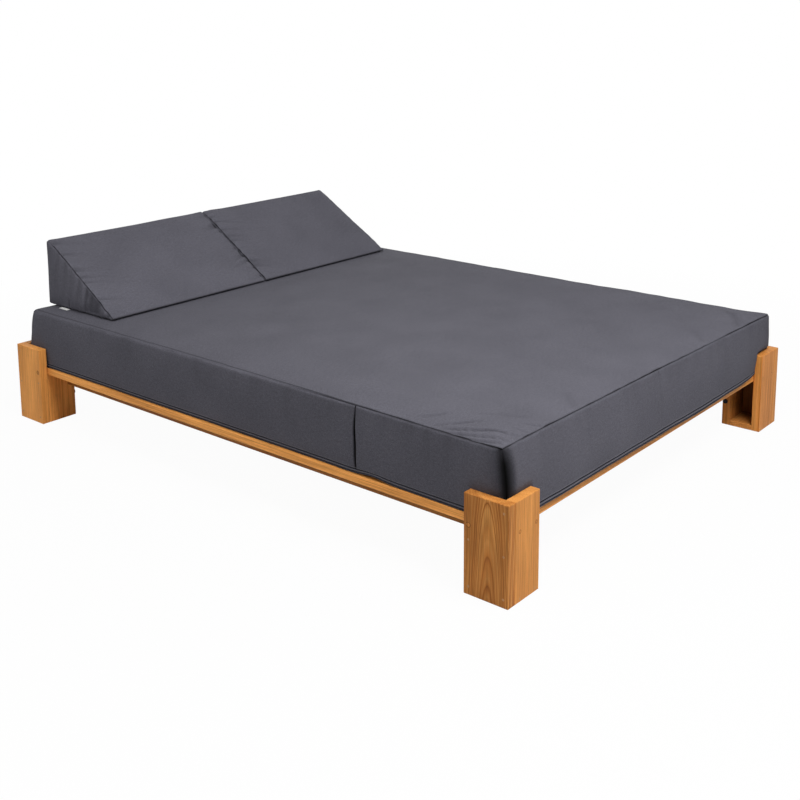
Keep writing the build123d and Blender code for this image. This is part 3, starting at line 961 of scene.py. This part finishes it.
def section(slope_shares, back_shares):
    """A wedge's cross-section as (y, z): toe to apex, apex to heel, and toe to heel."""
    toe, heel, apex = (np.array(p) for p in ((toe_y, wedge_low.z), (heel_y, wedge_low.z), (apex_y, apex_z)))
    up, down, level = heading(toe, apex), heading(apex, heel), heading(toe, heel)
    toe_bend = bent(toe + level * toe_round, toe, toe + up * toe_round)
    apex_bend = bent(apex - up * apex_round, apex, apex + down * apex_round)
    heel_bend = bent(heel - down * heel_round, heel, heel - level * heel_round)
    half = len(toe_bend) // 2
    slope = np.concatenate([toe_bend[half:], bowed(toe_bend[-1], apex_bend[0]), apex_bend[:half + 1]])
    back = np.concatenate([apex_bend[half:], bowed(apex_bend[-1], heel_bend[0]), heel_bend[:half + 1]])
    bottom = np.concatenate([toe_bend[half::-1], heel_bend[:half - 1:-1]])
    return spaced(slope, slope_shares), spaced(back, back_shares), spaced(bottom, slope_shares)


def wedge_panels(x_from, x_to, x_places, slope_shares, back_shares):
    """The five panels of a wedge cover."""
    slope, back, bottom = section(slope_shares, back_shares)
    centre = np.array([(toe_y + 2 * heel_y) / 3, wedge_low.z])
    tuck = end_tuck * fading(np.minimum(x_places - x_from, x_to - x_places), 7 * mm)
    panels = {}
    for name, outline, shares, length in (("slope", slope, slope_shares, slope_length),
                                          ("back", back, back_shares, back_length),
                                          ("bottom", bottom, slope_shares, bottom_length)):
        inward = centre - outline
        inward = inward / np.linalg.norm(inward, axis=1, keepdims=True)
        if name == "bottom":
            inward[:, 1] = 0
        yz = outline[None] + inward[None] * tuck[:, None, None]
        x = np.repeat(x_places[:, None], len(outline), 1)
        points = np.concatenate([x[..., None], yz], -1)
        uv = np.stack(grid(x_places, shares * length), -1)
        panels[name] = panel_of(points, uv, x_places, shares, name == "bottom")
    rows = 1 - back_shares[::-1]
    blend = rows[:, None]
    for name, index in (("left_end", 0), ("right_end", -1)):
        upper, lower = (panels[part]["points"][index] for part in ("slope", "bottom"))
        heel_line = panels["back"]["points"][index][::-1]
        points = lower[:, None] * (1 - blend) + upper[:, None] * blend
        off = heel_line - (lower[-1] * (1 - blend) + upper[-1] * blend)
        points = points + off[None] * (slope_shares[:, None, None] ** 6)
        points[:, 0] = lower
        points[:, -1] = upper
        points[-1] = heel_line
        panels[name] = panel_of(points, points[..., 1:], slope_shares, rows, name == "left_end")
    return panels


def wedge_moves(x_from, x_to):
    """How a filled wedge cover moves off its pattern, on a coarse grid of each panel."""
    across, up_slope, up_back = wedge_coarse
    panels = wedge_panels(x_from, x_to, np.linspace(x_from, x_to, across), np.linspace(0, 1, up_slope),
                          np.linspace(0, 1, up_back))
    drawn = [(name, np.s_[[0, -1]]) for name in ("slope", "back")]
    points, moves = filled(panels, (("bottom", np.s_[3:-3, 3:-3]),), drawn, wedge_slack)
    from_apex = np.hypot(points[:, 1] - apex_y, points[:, 2] - apex_z)
    from_end = np.minimum(points[:, 0] - x_from, x_to - points[:, 0])
    calm = (1 - bell(from_apex, 0.06)) * (0.25 + 0.75 * unit(from_end / 0.05))
    return by_panel(panels, moves * calm[:, None], wedge_longest_move)


def sewn_edge(edge, puff):
    """Height by a wedge's seams: the cloth puffs up beside the dip."""
    return puff * bell(edge - puff_place, 4 * mm) - 0.75 * valley(edge)


def sharpened(wave, power):
    """A wave with broader tops and steeper sides."""
    return np.sign(wave) * np.abs(wave) ** power


def face_relief(name, panel, x, x_from, x_to, seed, gathers):
    """Height of a wedge's slope or back, with the gathers by its ends, and how much painted shade it gets in
    its wrinkles, seams and zip and along its bottom.
    """
    edge = np.clip(np.minimum(x - x_from, x_to - x), 0, None)
    along = panel["v"][None, :] * (slope_length if name == "slope" else back_length) + 0 * x
    rise = 0.9 * mm * swells(panel["u"], panel["v"] * slope_length, 0.13, seed)
    painted_shade = np.zeros_like(x)
    for where, offset, strength in ((x - x_from, 1, gathers[0]), (x_to - x, 2, gathers[1])):
        where = np.clip(where, 0, None)
        wave = sharpened(ripple(along + where * 0.3, 0.015, seed + offset), 0.8)
        reach = 0.036 * (1.15 + 0.85 * ripple(along, 0.05, seed + offset + 9))
        fade = fading(where, np.clip(reach, 0.018, None)) * (1 - fading(where, 5 * mm)) * strength
        if name == "slope":
            fade = fade * unit(along / 0.03)
        rise += 6.0 * mm * wave * fade
        # Painted shade in the troughs of the wrinkles
        painted_shade += 0.5 * unit(-wave - 0.1) * fade
    # Painted shade along the end seams, under the toe, along the zip and under the heel
    painted_shade = np.maximum(painted_shade, 0.8 * seam_shade(edge, 1.2 * mm))
    if name == "slope":
        painted_shade = np.maximum(painted_shade, 0.9 * bell(along, 4.5 * mm))
    else:
        height = back_length - along
        inside = 1 / (1 + fading(edge - wedge_zip_ends, 2 * mm))
        groove = bell(height - wedge_zip, 1.3 * mm) * inside
        rise -= 1.8 * mm * groove
        painted_shade = np.maximum(painted_shade, np.maximum(0.7 * groove, 0.9 * bell(height, 5 * mm)))
    return rise + sewn_edge(edge, 0.7 * mm), painted_shade


def end_relief(y, z, puffed, seed, strength):
    """Height of a wedge's end with its long wrinkles, and how much painted shade it gets in them, along its
    seams and along its bottom.
    """
    up = heading(np.array([toe_y, wedge_low.z]), np.array([apex_y, apex_z]))
    slope = np.abs((y - toe_y) * up[1] - (z - wedge_low.z) * up[0])
    low = z - wedge_low.z
    edge = np.minimum(np.minimum(slope, np.abs(heel_y - y)), low)
    inner = 1 - fading(edge, 22 * mm)
    lower_half = unit((apex_y - y) / 0.26) ** 0.7
    wave = sharpened(ripple(y + 0.16 * low, 0.0155, seed + 5), 0.75)
    body = fading(slope, 0.085) * (1 - fading(slope, 0.007)) * lower_half * unit(low / 0.012)
    rise = puffed * inner + strength * 5.5 * mm * wave * body
    rise = rise + strength * 1.6 * mm * ripple(y, 0.05, seed + 6) * inner + sewn_edge(edge, 0.5 * mm)
    # Painted shade along the seams and in the wrinkles' troughs, and under the bottom edge
    painted_shade = 0.8 * seam_shade(edge, 1.2 * mm) + strength * 0.7 * unit(-wave - 0.1) * body
    return rise, np.maximum(unit(painted_shade), 0.9 * bell(low, 4.5 * mm))


def make_wedge(name, node_low, node_high, seed, gathers, drawn):
    """A wedge cushion in its sewn cover, with the row that its zip follows.

    gathers are the strengths of the wrinkles at its left and right ends, and drawn is how far its
    right end draws in at the bottom and at the top.
    """
    x_from, x_to = node_low.x + 1 * mm, node_high.x - 1 * mm
    across_step, slope_step, back_step = wedge_steps
    x_places = step_places(x_from, x_to, across_step, edge_rows[:7], edge_rows[:7])
    slope_ends, back_ends = ([d / length for d in edge_rows[:5]] for length in (slope_length, back_length))
    zip_rows = [1 - (wedge_zip + d) / back_length for d in seam_rows]
    slope_shares = step_places(0, 1, slope_step / slope_length, slope_ends, slope_ends)
    back_shares = step_places(0, 1, back_step / back_length, back_ends, back_ends, zip_rows)
    panels = wedge_panels(x_from, x_to, x_places, slope_shares, back_shares)

    def relief_of(part, panel, points):
        x, y, z = np.moveaxis(points[panel["ids"]], -1, 0)
        if part == "left_end":
            return end_relief(y, z, 5 * mm, seed, gathers[0])
        if part == "right_end":
            return end_relief(y, z, 3 * mm, seed, gathers[1])
        return face_relief(part, panel, x, x_from, x_to, seed, gathers)

    def finish_points(points):
        x, y, z = points.T.copy()
        share = unit((z - wedge_low.z) / (apex_z - wedge_low.z))
        x -= (drawn[0] + (drawn[1] - drawn[0]) * share) * unit((x - x_from) / (x_to - x_from))
        x = np.minimum(x, -wedge_gap) if node_high.x < wedge_gap else np.maximum(x, wedge_gap)
        return np.stack([x, y, np.maximum(z, wedge_low.z)], -1)

    cover = sewn_cover(name, wedge_cloth, panels, wedge_moves(x_from, x_to), relief_of, finish_points)
    column = int(np.argmin(np.abs(back_shares - (1 - wedge_zip / back_length))))
    inside = (x_places > x_from + wedge_zip_ends) & (x_places < x_to - wedge_zip_ends)
    return cover, panels["back"]["ids"][inside, column]


mattress, mattress_rows = make_mattress()
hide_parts("mattress_cover", "mattress_core")
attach(mattress, "mattress")

wedges = {}
for side_name, seed, gathers, drawn in (("left", 60, (1.0, 0.9), (0.0, 0.0)),
                                        ("right", 80, (1.0, 0.15), (14 * mm, 28 * mm))):
    low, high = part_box("wedge_cover_" + side_name)
    wedge, zip_row = make_wedge("wedge_cover_sewn_" + side_name, low, high, seed, gathers, drawn)
    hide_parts("wedge_cover_" + side_name, "wedge_core_" + side_name)
    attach(wedge, side_name + "_wedge")
    wedges[side_name] = (wedge, zip_row)

# Small repeated things: stitches, zip teeth, slat screws and filled holes
shared_inputs = (("Piece", "Object"), ("Finish", "Material"), ("Seed", "Int"), ("Unevenness", "Float"))


def geometry_tree(name, *inputs):
    """A geometry node tree with the shared inputs and more: its wiring and its first node."""
    tree = bpy.data.node_groups.new(name, "GeometryNodeTree")
    for label, kind in (("Geometry", "Geometry"), *shared_inputs, *inputs):
        tree.interface.new_socket(label, in_out="INPUT", socket_type="NodeSocket" + kind)
    tree.interface.new_socket("Geometry", in_out="OUTPUT", socket_type="NodeSocketGeometry")
    return Wiring(tree), tree.nodes.new("NodeGroupInput").outputs


def place_pieces(t, start, points, turn):
    """The tail of both trees: pieces on points, a little uneven, made real and given their finish."""
    piece = t.add("GeometryNodeObjectInfo", {"Object": start["Piece"]})
    least, most = (t.math(kind, 1.0, start["Unevenness"]) for kind in ("SUBTRACT", "ADD"))
    size = t.add("FunctionNodeRandomValue", {"Min": least, "Max": most, "Seed": start["Seed"]})
    made = t.add("GeometryNodeInstanceOnPoints", {
        "Points": points, "Instance": piece.outputs["Geometry"], "Rotation": turn.outputs["Rotation"],
        "Scale": socket_of(size.outputs, "Value")})
    whole = t.add("GeometryNodeRealizeInstances", {"Geometry": made.outputs["Instances"]})
    done = t.add("GeometryNodeSetMaterial", {
        "Geometry": whole.outputs["Geometry"], "Material": start["Finish"]})
    t.add("NodeGroupOutput", {"Geometry": done.outputs["Geometry"]})
    return t.tree


def row_tree():
    """Pieces at an even pitch along a line, lengthwise, standing upright."""
    t, start = geometry_tree("pieces_along_a_line", ("Pitch", "Float"))
    line = t.add("GeometryNodeMeshToCurve", {"Mesh": start["Geometry"]})
    even = t.add("GeometryNodeResampleCurve", {"Curve": line.outputs["Curve"], "Length": start["Pitch"]},
                 mode="LENGTH")
    along = t.add("GeometryNodeInputTangent").outputs["Tangent"]
    turn = t.add("FunctionNodeAlignRotationToVector", {"Vector": along}, axis="X")
    turn = t.add("FunctionNodeAlignRotationToVector", {
        "Rotation": turn.outputs["Rotation"], "Vector": (0, 0, 1)}, axis="Z", pivot_axis="X")
    return place_pieces(t, start, even.outputs["Curve"], turn)


def spot_tree():
    """Pieces on points, facing the way each point says, turned at random."""
    t, start = geometry_tree("pieces_on_spots")
    facing = t.add("GeometryNodeInputNamedAttribute", {"Name": "facing"}, data_type="FLOAT_VECTOR")
    spin = t.add("FunctionNodeRandomValue", {"Min": 0.0, "Max": 2 * math.pi, "Seed": start["Seed"]})
    first = t.add("FunctionNodeAxisAngleToRotation", {
        "Axis": (0, 0, 1), "Angle": socket_of(spin.outputs, "Value")})
    turn = t.add("FunctionNodeAlignRotationToVector", {
        "Rotation": first.outputs["Rotation"], "Vector": socket_of(facing.outputs, "Attribute")}, axis="Z")
    return place_pieces(t, start, start["Geometry"], turn)


along_line, on_spots = row_tree(), spot_tree()


def repeated(name, tree, base, piece, finish, body, seed=1, unevenness=0.0, pitch=None):
    """Run a tree on a base mesh and keep its result as a plain mesh that rides a body."""
    modifier = base.modifiers.new("pieces", "NODES")
    modifier.node_group = tree
    values = {"Piece": piece, "Finish": finish, "Seed": seed, "Unevenness": unevenness, "Pitch": pitch}
    for item in tree.interface.items_tree:
        if item.in_out == "INPUT" and values.get(item.name) is not None:
            modifier[item.identifier] = values[item.name]
    base.update_tag()
    seen = bpy.context.evaluated_depsgraph_get()
    seen.update()
    mesh = bpy.data.meshes.new_from_object(base.evaluated_get(seen))
    mesh.name = name
    discard(base)
    discard(piece)
    made = placed(name, mesh)
    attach(made, body)


def row_on(cover, ids, rise, closed):
    """A line of edges that follows a row of a cover's points, a little above or below the cloth."""
    points = point_values(cover)[ids] + point_values(cover, "normal")[ids] * rise
    last = len(points) - 1
    return mesh_object("line", points, edges=[(i, i + 1) for i in range(last)] + [(last, 0)] * closed)


def spots_object(spots):
    """Points with the way that each one faces."""
    made = mesh_object("spots", [place for place, _ in spots])
    facing = made.data.attributes.new("facing", "FLOAT_VECTOR", "POINT")
    facing.data.foreach_set("vector", np.array([way for _, way in spots], np.float32).ravel())
    return made


def circle(sides):
    """Points round a circle of radius 1."""
    angles = [2 * math.pi * k / sides for k in range(sides)]
    return [(math.cos(angle), math.sin(angle)) for angle in angles]


def stitch_piece(length, width):
    """One stitch: a slim closed spindle along X."""
    sides = 5
    points = [(-0.5 * length, 0, 0)]
    for along in (-0.32, 0.32):
        points += [(along * length, c * 0.85 * width / 2, s * 0.85 * width / 2) for c, s in circle(sides)]
    points.append((0.5 * length, 0, 0))
    faces = []
    for k in range(sides):
        a, b = 1 + k, 1 + (k + 1) % sides
        faces += [(0, b, a), (a, b, b + sides, a + sides), (len(points) - 1, a + sides, b + sides)]
    return mesh_object("stitch", points, faces)


def tooth_piece(length, depth, height):
    """One zip tooth: a small block."""
    points = [(x, y, z) for x in (-length / 2, length / 2) for y in (-depth / 2, depth / 2)
              for z in (-height / 2, height / 2)]
    faces = [(0, 1, 3, 2), (4, 6, 7, 5), (0, 4, 5, 1), (2, 3, 7, 6), (0, 2, 6, 4), (1, 5, 7, 3)]
    return mesh_object("tooth", points, faces, smooth=False)


def stacked_piece(name, rings):
    """A closed piece through rings of points, from its back to its front."""
    count = len(rings[0])
    last = (len(rings) - 1) * count
    faces = [tuple(range(count - 1, -1, -1)), tuple(range(last, last + count))]
    for start in range(0, last, count):
        for k in range(count):
            a, b = start + k, start + (k + 1) % count
            faces.append((a, b, b + count, a + count))
    return mesh_object(name, [p for ring in rings for p in ring], faces, smooth=False)


def disc_piece(radius, depth):
    """A thin closed disc that faces +Z."""
    return stacked_piece("disc", [[(c * radius * size, s * radius * size, z) for c, s in circle(20)]
                                  for z, size in ((0, 1.0), (depth * 0.6, 1.0), (depth, 0.9))])


def screw_piece(radius, height, arm, arm_width, pit):
    """A countersunk screw head that faces +Z, with a cross recess."""
    half = arm_width / 2
    outline = [(x * c - y * s, x * s + y * c) for c, s in ((1, 0), (0, 1), (-1, 0), (0, -1))
               for x, y in ((arm, -half), (arm, half), (half, half))]
    angles = [math.atan2(y, x) for x, y in outline]
    rings = [[(math.cos(a) * radius * size, math.sin(a) * radius * size, z) for a in angles]
             for size, z in ((0.96, -0.3 * mm), (1.0, height * 0.5), (0.94, height))]
    rings += [[(x * size, y * size, z) for x, y in outline]
              for size, z in ((1.0, height), (0.8, height - pit))]
    return stacked_piece("screw_head", rings)


stitch_length, stitch_width, stitch_pitch, stitch_rise = in_mm(3.4, 0.9, 4.6, 0.1)
tooth_length, tooth_depth, tooth_pitch, tooth_rise = in_mm(1.5, 1.2, 2.8, -0.2)
for row in stitch_rows:
    repeated("mattress_" + row, along_line, row_on(mattress, mattress_rows[row], stitch_rise, True),
             stitch_piece(stitch_length, stitch_width), thread, "mattress",
             seed=3, unevenness=0.08, pitch=stitch_pitch)
zips = [("mattress_zip_teeth", "mattress", mattress, mattress_rows["zip"], 2.6 * mm)]
zips += [("wedge_zip_teeth_" + side_name, side_name + "_wedge", wedge, ids, 3.0 * mm)
         for side_name, (wedge, ids) in wedges.items()]
for name, body, cover, ids, height in zips:
    repeated(name, along_line, row_on(cover, ids, tooth_rise, cover == mattress),
             tooth_piece(tooth_length, tooth_depth, height), zip_teeth_finish, body,
             pitch=tooth_pitch)

# Slat screws: two rows in each slat, over the rails and over the bearers
slat_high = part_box("slat_01")[1]
bearer_low, bearer_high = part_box("bearer_right")
screw_x = ((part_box("side_rail_right")[0].x + slat_high.x) / 2, (bearer_low.x + bearer_high.x) / 2)
screw_inset = 26 * mm
# The head's radius and height, and its cross recess's reach, width and depth
screw_sizes = in_mm(3.8, 0.5, 2.1, 0.9, 1.0)
screw_spots = []
for name in frame["nodes"]:
    if name.startswith("slat_"):
        low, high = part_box(name)
        screw_spots += [((side * x, y, slat_high.z), (0, 0, 1))
                        for y in (low.y + screw_inset, high.y - screw_inset)
                        for x in screw_x for side in (-1, 1)]
repeated("slat_screws", on_spots, spots_object(screw_spots), screw_piece(*screw_sizes), screw_steel,
         "frame", seed=7)

# Filled screw holes on the legs, in mm: in from each leg's outer corner, and up from the floor
filled_side = ((14, 22), (14, 131), (14, 240), (118, 22), (118, 144))
filled_end = ((49, 9), (115, 9))
filled_radius, filled_rise = in_mm(3.4, 0.12)
hole_spots = []
for sx, sy in ((-1, -1), (-1, 1), (1, -1), (1, 1)):
    hole_spots += [((sx * half_width, sy * (half_length - inward * mm), height * mm), (sx, 0, 0))
                   for inward, height in filled_side]
    hole_spots += [((sx * (half_width - inward * mm), sy * half_length, height * mm), (0, sy, 0))
                   for inward, height in filled_end]
repeated("filled_screw_holes", on_spots, spots_object(hole_spots), disc_piece(filled_radius, filled_rise),
         filler_pale, "frame", seed=9, unevenness=0.06)

# Teak on the frame's boards. The ones in view have a grain of their own:
# pith, tilt, tone, gold, seed and contrast
seen_boards = {
    "foot_left_leg_side_board": ((-0.762, -0.969), (0.06, 0.0), 0.84, 0.0, 1.3, 1.0),
    "foot_left_leg_end_board": ((-0.50, -0.93), (0.012, 0.0), 1.0, 0.8, 4.1, 0.45),
    "head_left_leg_side_board": ((-0.70, 1.14), (0.0, 0.01), 1.2, 1.0, 7.7, 0.45),
    "head_left_leg_inner_board": ((-0.60, 0.80), (0.02, 0.01), 1.3, 0.6, 9.2, 0.4),
    "foot_right_leg_inner_board": ((0.73, -0.83), (0.03, 0.05), 1.0, 0.25, 11.4, 1.0),
    "foot_right_leg_end_board": ((0.55, -0.93), (0.02, 0.0), 1.02, 0.0, 12.6, 0.8),
    "deck_side_board_left": ((-0.83, 0.10), (0.0, 0.004), 1.3, 1.0, 15.1, 0.7),
    "side_rail_left": ((-0.60, 0.02), (0.0, 0.01), 0.55, 0.2, 17.9, 0.8),
    "deck_end_board_foot": ((-1.09, 0.13), (0.004, 0.0), 1.0, 0.7, 16.4, 0.8),
    "side_plugs": ((-0.7, 0.2), (0.0, 0.0), 0.9, 0.1, 21.5, 0.6),
    "end_plugs": ((-0.7, 0.2), (0.0, 0.0), 1.0, 0.5, 23.5, 0.6),
}


def painted_leg_box_shade(t, place, wood):
    """Painted shade: wood gets darker towards the back of a leg box, where shade falls."""
    split = t.split(place)
    x, y = (t.math("ABSOLUTE", split[letter]) for letter in "XY")
    shade = t.line(t.ranged(x, leg_inner_x, pocket_x), 0.65, 0.2)
    for value, least, most in ((x, leg_inner_x + 0.5 * mm, pocket_x), (y, -inner_high.y + 1 * mm, pocket_y),
                               (split["Z"], plate_top, inner_high.z)):
        shade = t.times(shade, t.math("GREATER_THAN", value, least))
        shade = t.times(shade, t.math("LESS_THAN", value, most + 0.5 * mm))
    return t.mix(shade, wood, toned(teak_dark, 0.3))


def plug_rims(radius, **middles):
    """A shade with a dark ring round each plug. middles are the plugs' places along each axis."""
    def darkened(t, place, wood):
        split = t.split(place)
        squares = []
        for letter, places in middles.items():
            size = t.math("ABSOLUTE", split[letter])
            gaps = [t.math("ABSOLUTE", t.math("SUBTRACT", size, middle)) for middle in places]
            gap = gaps[0] if len(gaps) == 1 else t.math("MINIMUM", *gaps)
            squares.append(t.times(gap, gap))
        away = t.math("SQRT", t.math("ADD", *squares))
        return t.mix(t.times(t.ranged(away, radius * 0.7, radius * 0.9), 0.95), wood, toned(teak_dark, 0.35))
    return darkened


side_low, side_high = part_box("side_plugs")
end_low, end_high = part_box("end_plugs")
side_plug_radius = 7 * mm
end_plug_radius = 5 * mm
end_plug_gap = 70 * mm
outer_plug_x = end_high.x - end_plug_radius
rims = {
    "side_plugs": plug_rims(side_plug_radius, Y=[side_high.y - side_plug_radius],
                            Z=[(side_high.z + side_low.z) / 2]),
    "end_plugs": plug_rims(end_plug_radius, X=[outer_plug_x, outer_plug_x - end_plug_gap],
                           Z=[(end_low.z + end_high.z) / 2]),
}
slots = {part["node"]: part["material_slot"] for part in frame["record"]["subparts"]}
generic = np.random.default_rng(5)
for name, thing in frame["nodes"].items():
    if slots[name] == "teak":
        low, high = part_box(name)
        if name in rims or "_leg_" in name and "base_plate" not in name:
            grain = "z"
        else:
            grain = "x" if high.x - low.x > high.y - low.y else "y"
        if name in seen_boards:
            look = seen_boards[name]
        else:
            across = [middle for letter, middle in zip("xyz", (low + high) / 2) if letter != grain]
            pith = (across[0] + generic.uniform(0.05, 0.14) * generic.choice((-1, 1)),
                    across[1] + generic.uniform(0.03, 0.09) * generic.choice((-1, 1)))
            look = (pith, (generic.uniform(-0.02, 0.02), generic.uniform(-0.03, 0.03)),
                    generic.uniform(0.9, 1.04), generic.uniform(0.15, 0.9), generic.uniform(0, 50),
                    generic.uniform(0.5, 0.9))
        finish = teak("teak_" + name, grain, *look, painted_leg_box_shade if "_leg_" in name else rims.get(name))
    elif slots[name] in plain_finishes:
        finish = plain_finishes[slots[name]]
    else:
        continue
    thing.data.materials.clear()
    thing.data.materials.append(finish)

# Floor, world, lights and camera


def background_rays(t):
    """1 for the rays that see the white background: the camera's, and those off gloss or through glass."""
    path = t.add("ShaderNodeLightPath").outputs
    shiny = t.math("MAXIMUM", path["Is Glossy Ray"], path["Is Transmission Ray"])
    return t.math("MAXIMUM", path["Is Camera Ray"], shiny)


def make_floor():
    """A pale floor that turns to plain white away from the object."""
    material, t, shader = new_material("studio_floor")
    t.feed(shader, {"Base Color": (*floor_colour, 1), "Roughness": 0.9, "Specular IOR Level": 0.0})
    white = t.add("ShaderNodeEmission", {"Color": (1, 1, 1, 1), "Strength": 1.0})
    away = t.add("ShaderNodeVectorMath", {0: t.place()}, operation="LENGTH").outputs["Value"]
    fade = t.ranged(away, floor_white_from, floor_white_to, floor_white_share)
    mix = t.add("ShaderNodeMixShader", {0: t.times(background_rays(t), fade), 1: shader.outputs["BSDF"],
                                        2: white.outputs["Emission"]})
    t.feed(t.tree.nodes["Material Output"], {"Surface": mix.outputs["Shader"]})
    corners = [(sx * floor_reach, sy * floor_reach, 0.0) for sx, sy in ((-1, -1), (1, -1), (1, 1), (-1, 1))]
    made = mesh_object("studio_floor", corners, [(0, 1, 2, 3)], material=material, smooth=False)


def make_world():
    """Even sky light, seen as white."""
    world = bpy.data.worlds.new("studio_world")
    bpy.context.scene.world = world
    world.use_nodes = True
    world.node_tree.nodes.clear()
    t = Wiring(world.node_tree)
    sky, white = (t.add("ShaderNodeBackground", {"Color": (1, 1, 1, 1), "Strength": strength}).outputs[0]
                  for strength in (sky_strength, 1.0))
    mix = t.add("ShaderNodeMixShader", {0: background_rays(t), 1: sky, 2: white})
    t.add("ShaderNodeOutputWorld", {"Surface": mix.outputs[0]})


def make_camera():
    """The photograph's viewpoint."""
    lens = bpy.data.cameras.new("photo_camera")
    lens.sensor_width = sensor
    lens.lens = focal_px / image_px * sensor
    lens.shift_x = 0.5 - centre_px / image_px
    lens.shift_y = camera_shift_y
    lens.clip_end = 100
    stand = Matrix.Translation(camera_place)
    for angle, axis in ((-camera_yaw, "Z"), (math.pi / 2 - camera_pitch, "X"), (-camera_roll, "Z")):
        stand = stand @ Matrix.Rotation(angle, 4, axis)
    made = placed("photo_camera", lens)
    made.matrix_world = stand
    bpy.context.scene.camera = made


make_floor()
make_world()
for name, (power, place, aim, size) in studio_lights.items():
    light = bpy.data.lights.new(name, "AREA")
    light.shape = "RECTANGLE"
    light.size, light.size_y = size
    light.energy = power
    made = placed(name, light)
    made.location = place
    made.rotation_mode = "QUATERNION"
    made.rotation_quaternion = (Vector(aim) - Vector(place)).to_track_quat("-Z", "Y")
    made.visible_camera = False
make_camera()
bpy.context.scene.view_settings.view_transform = "Standard"
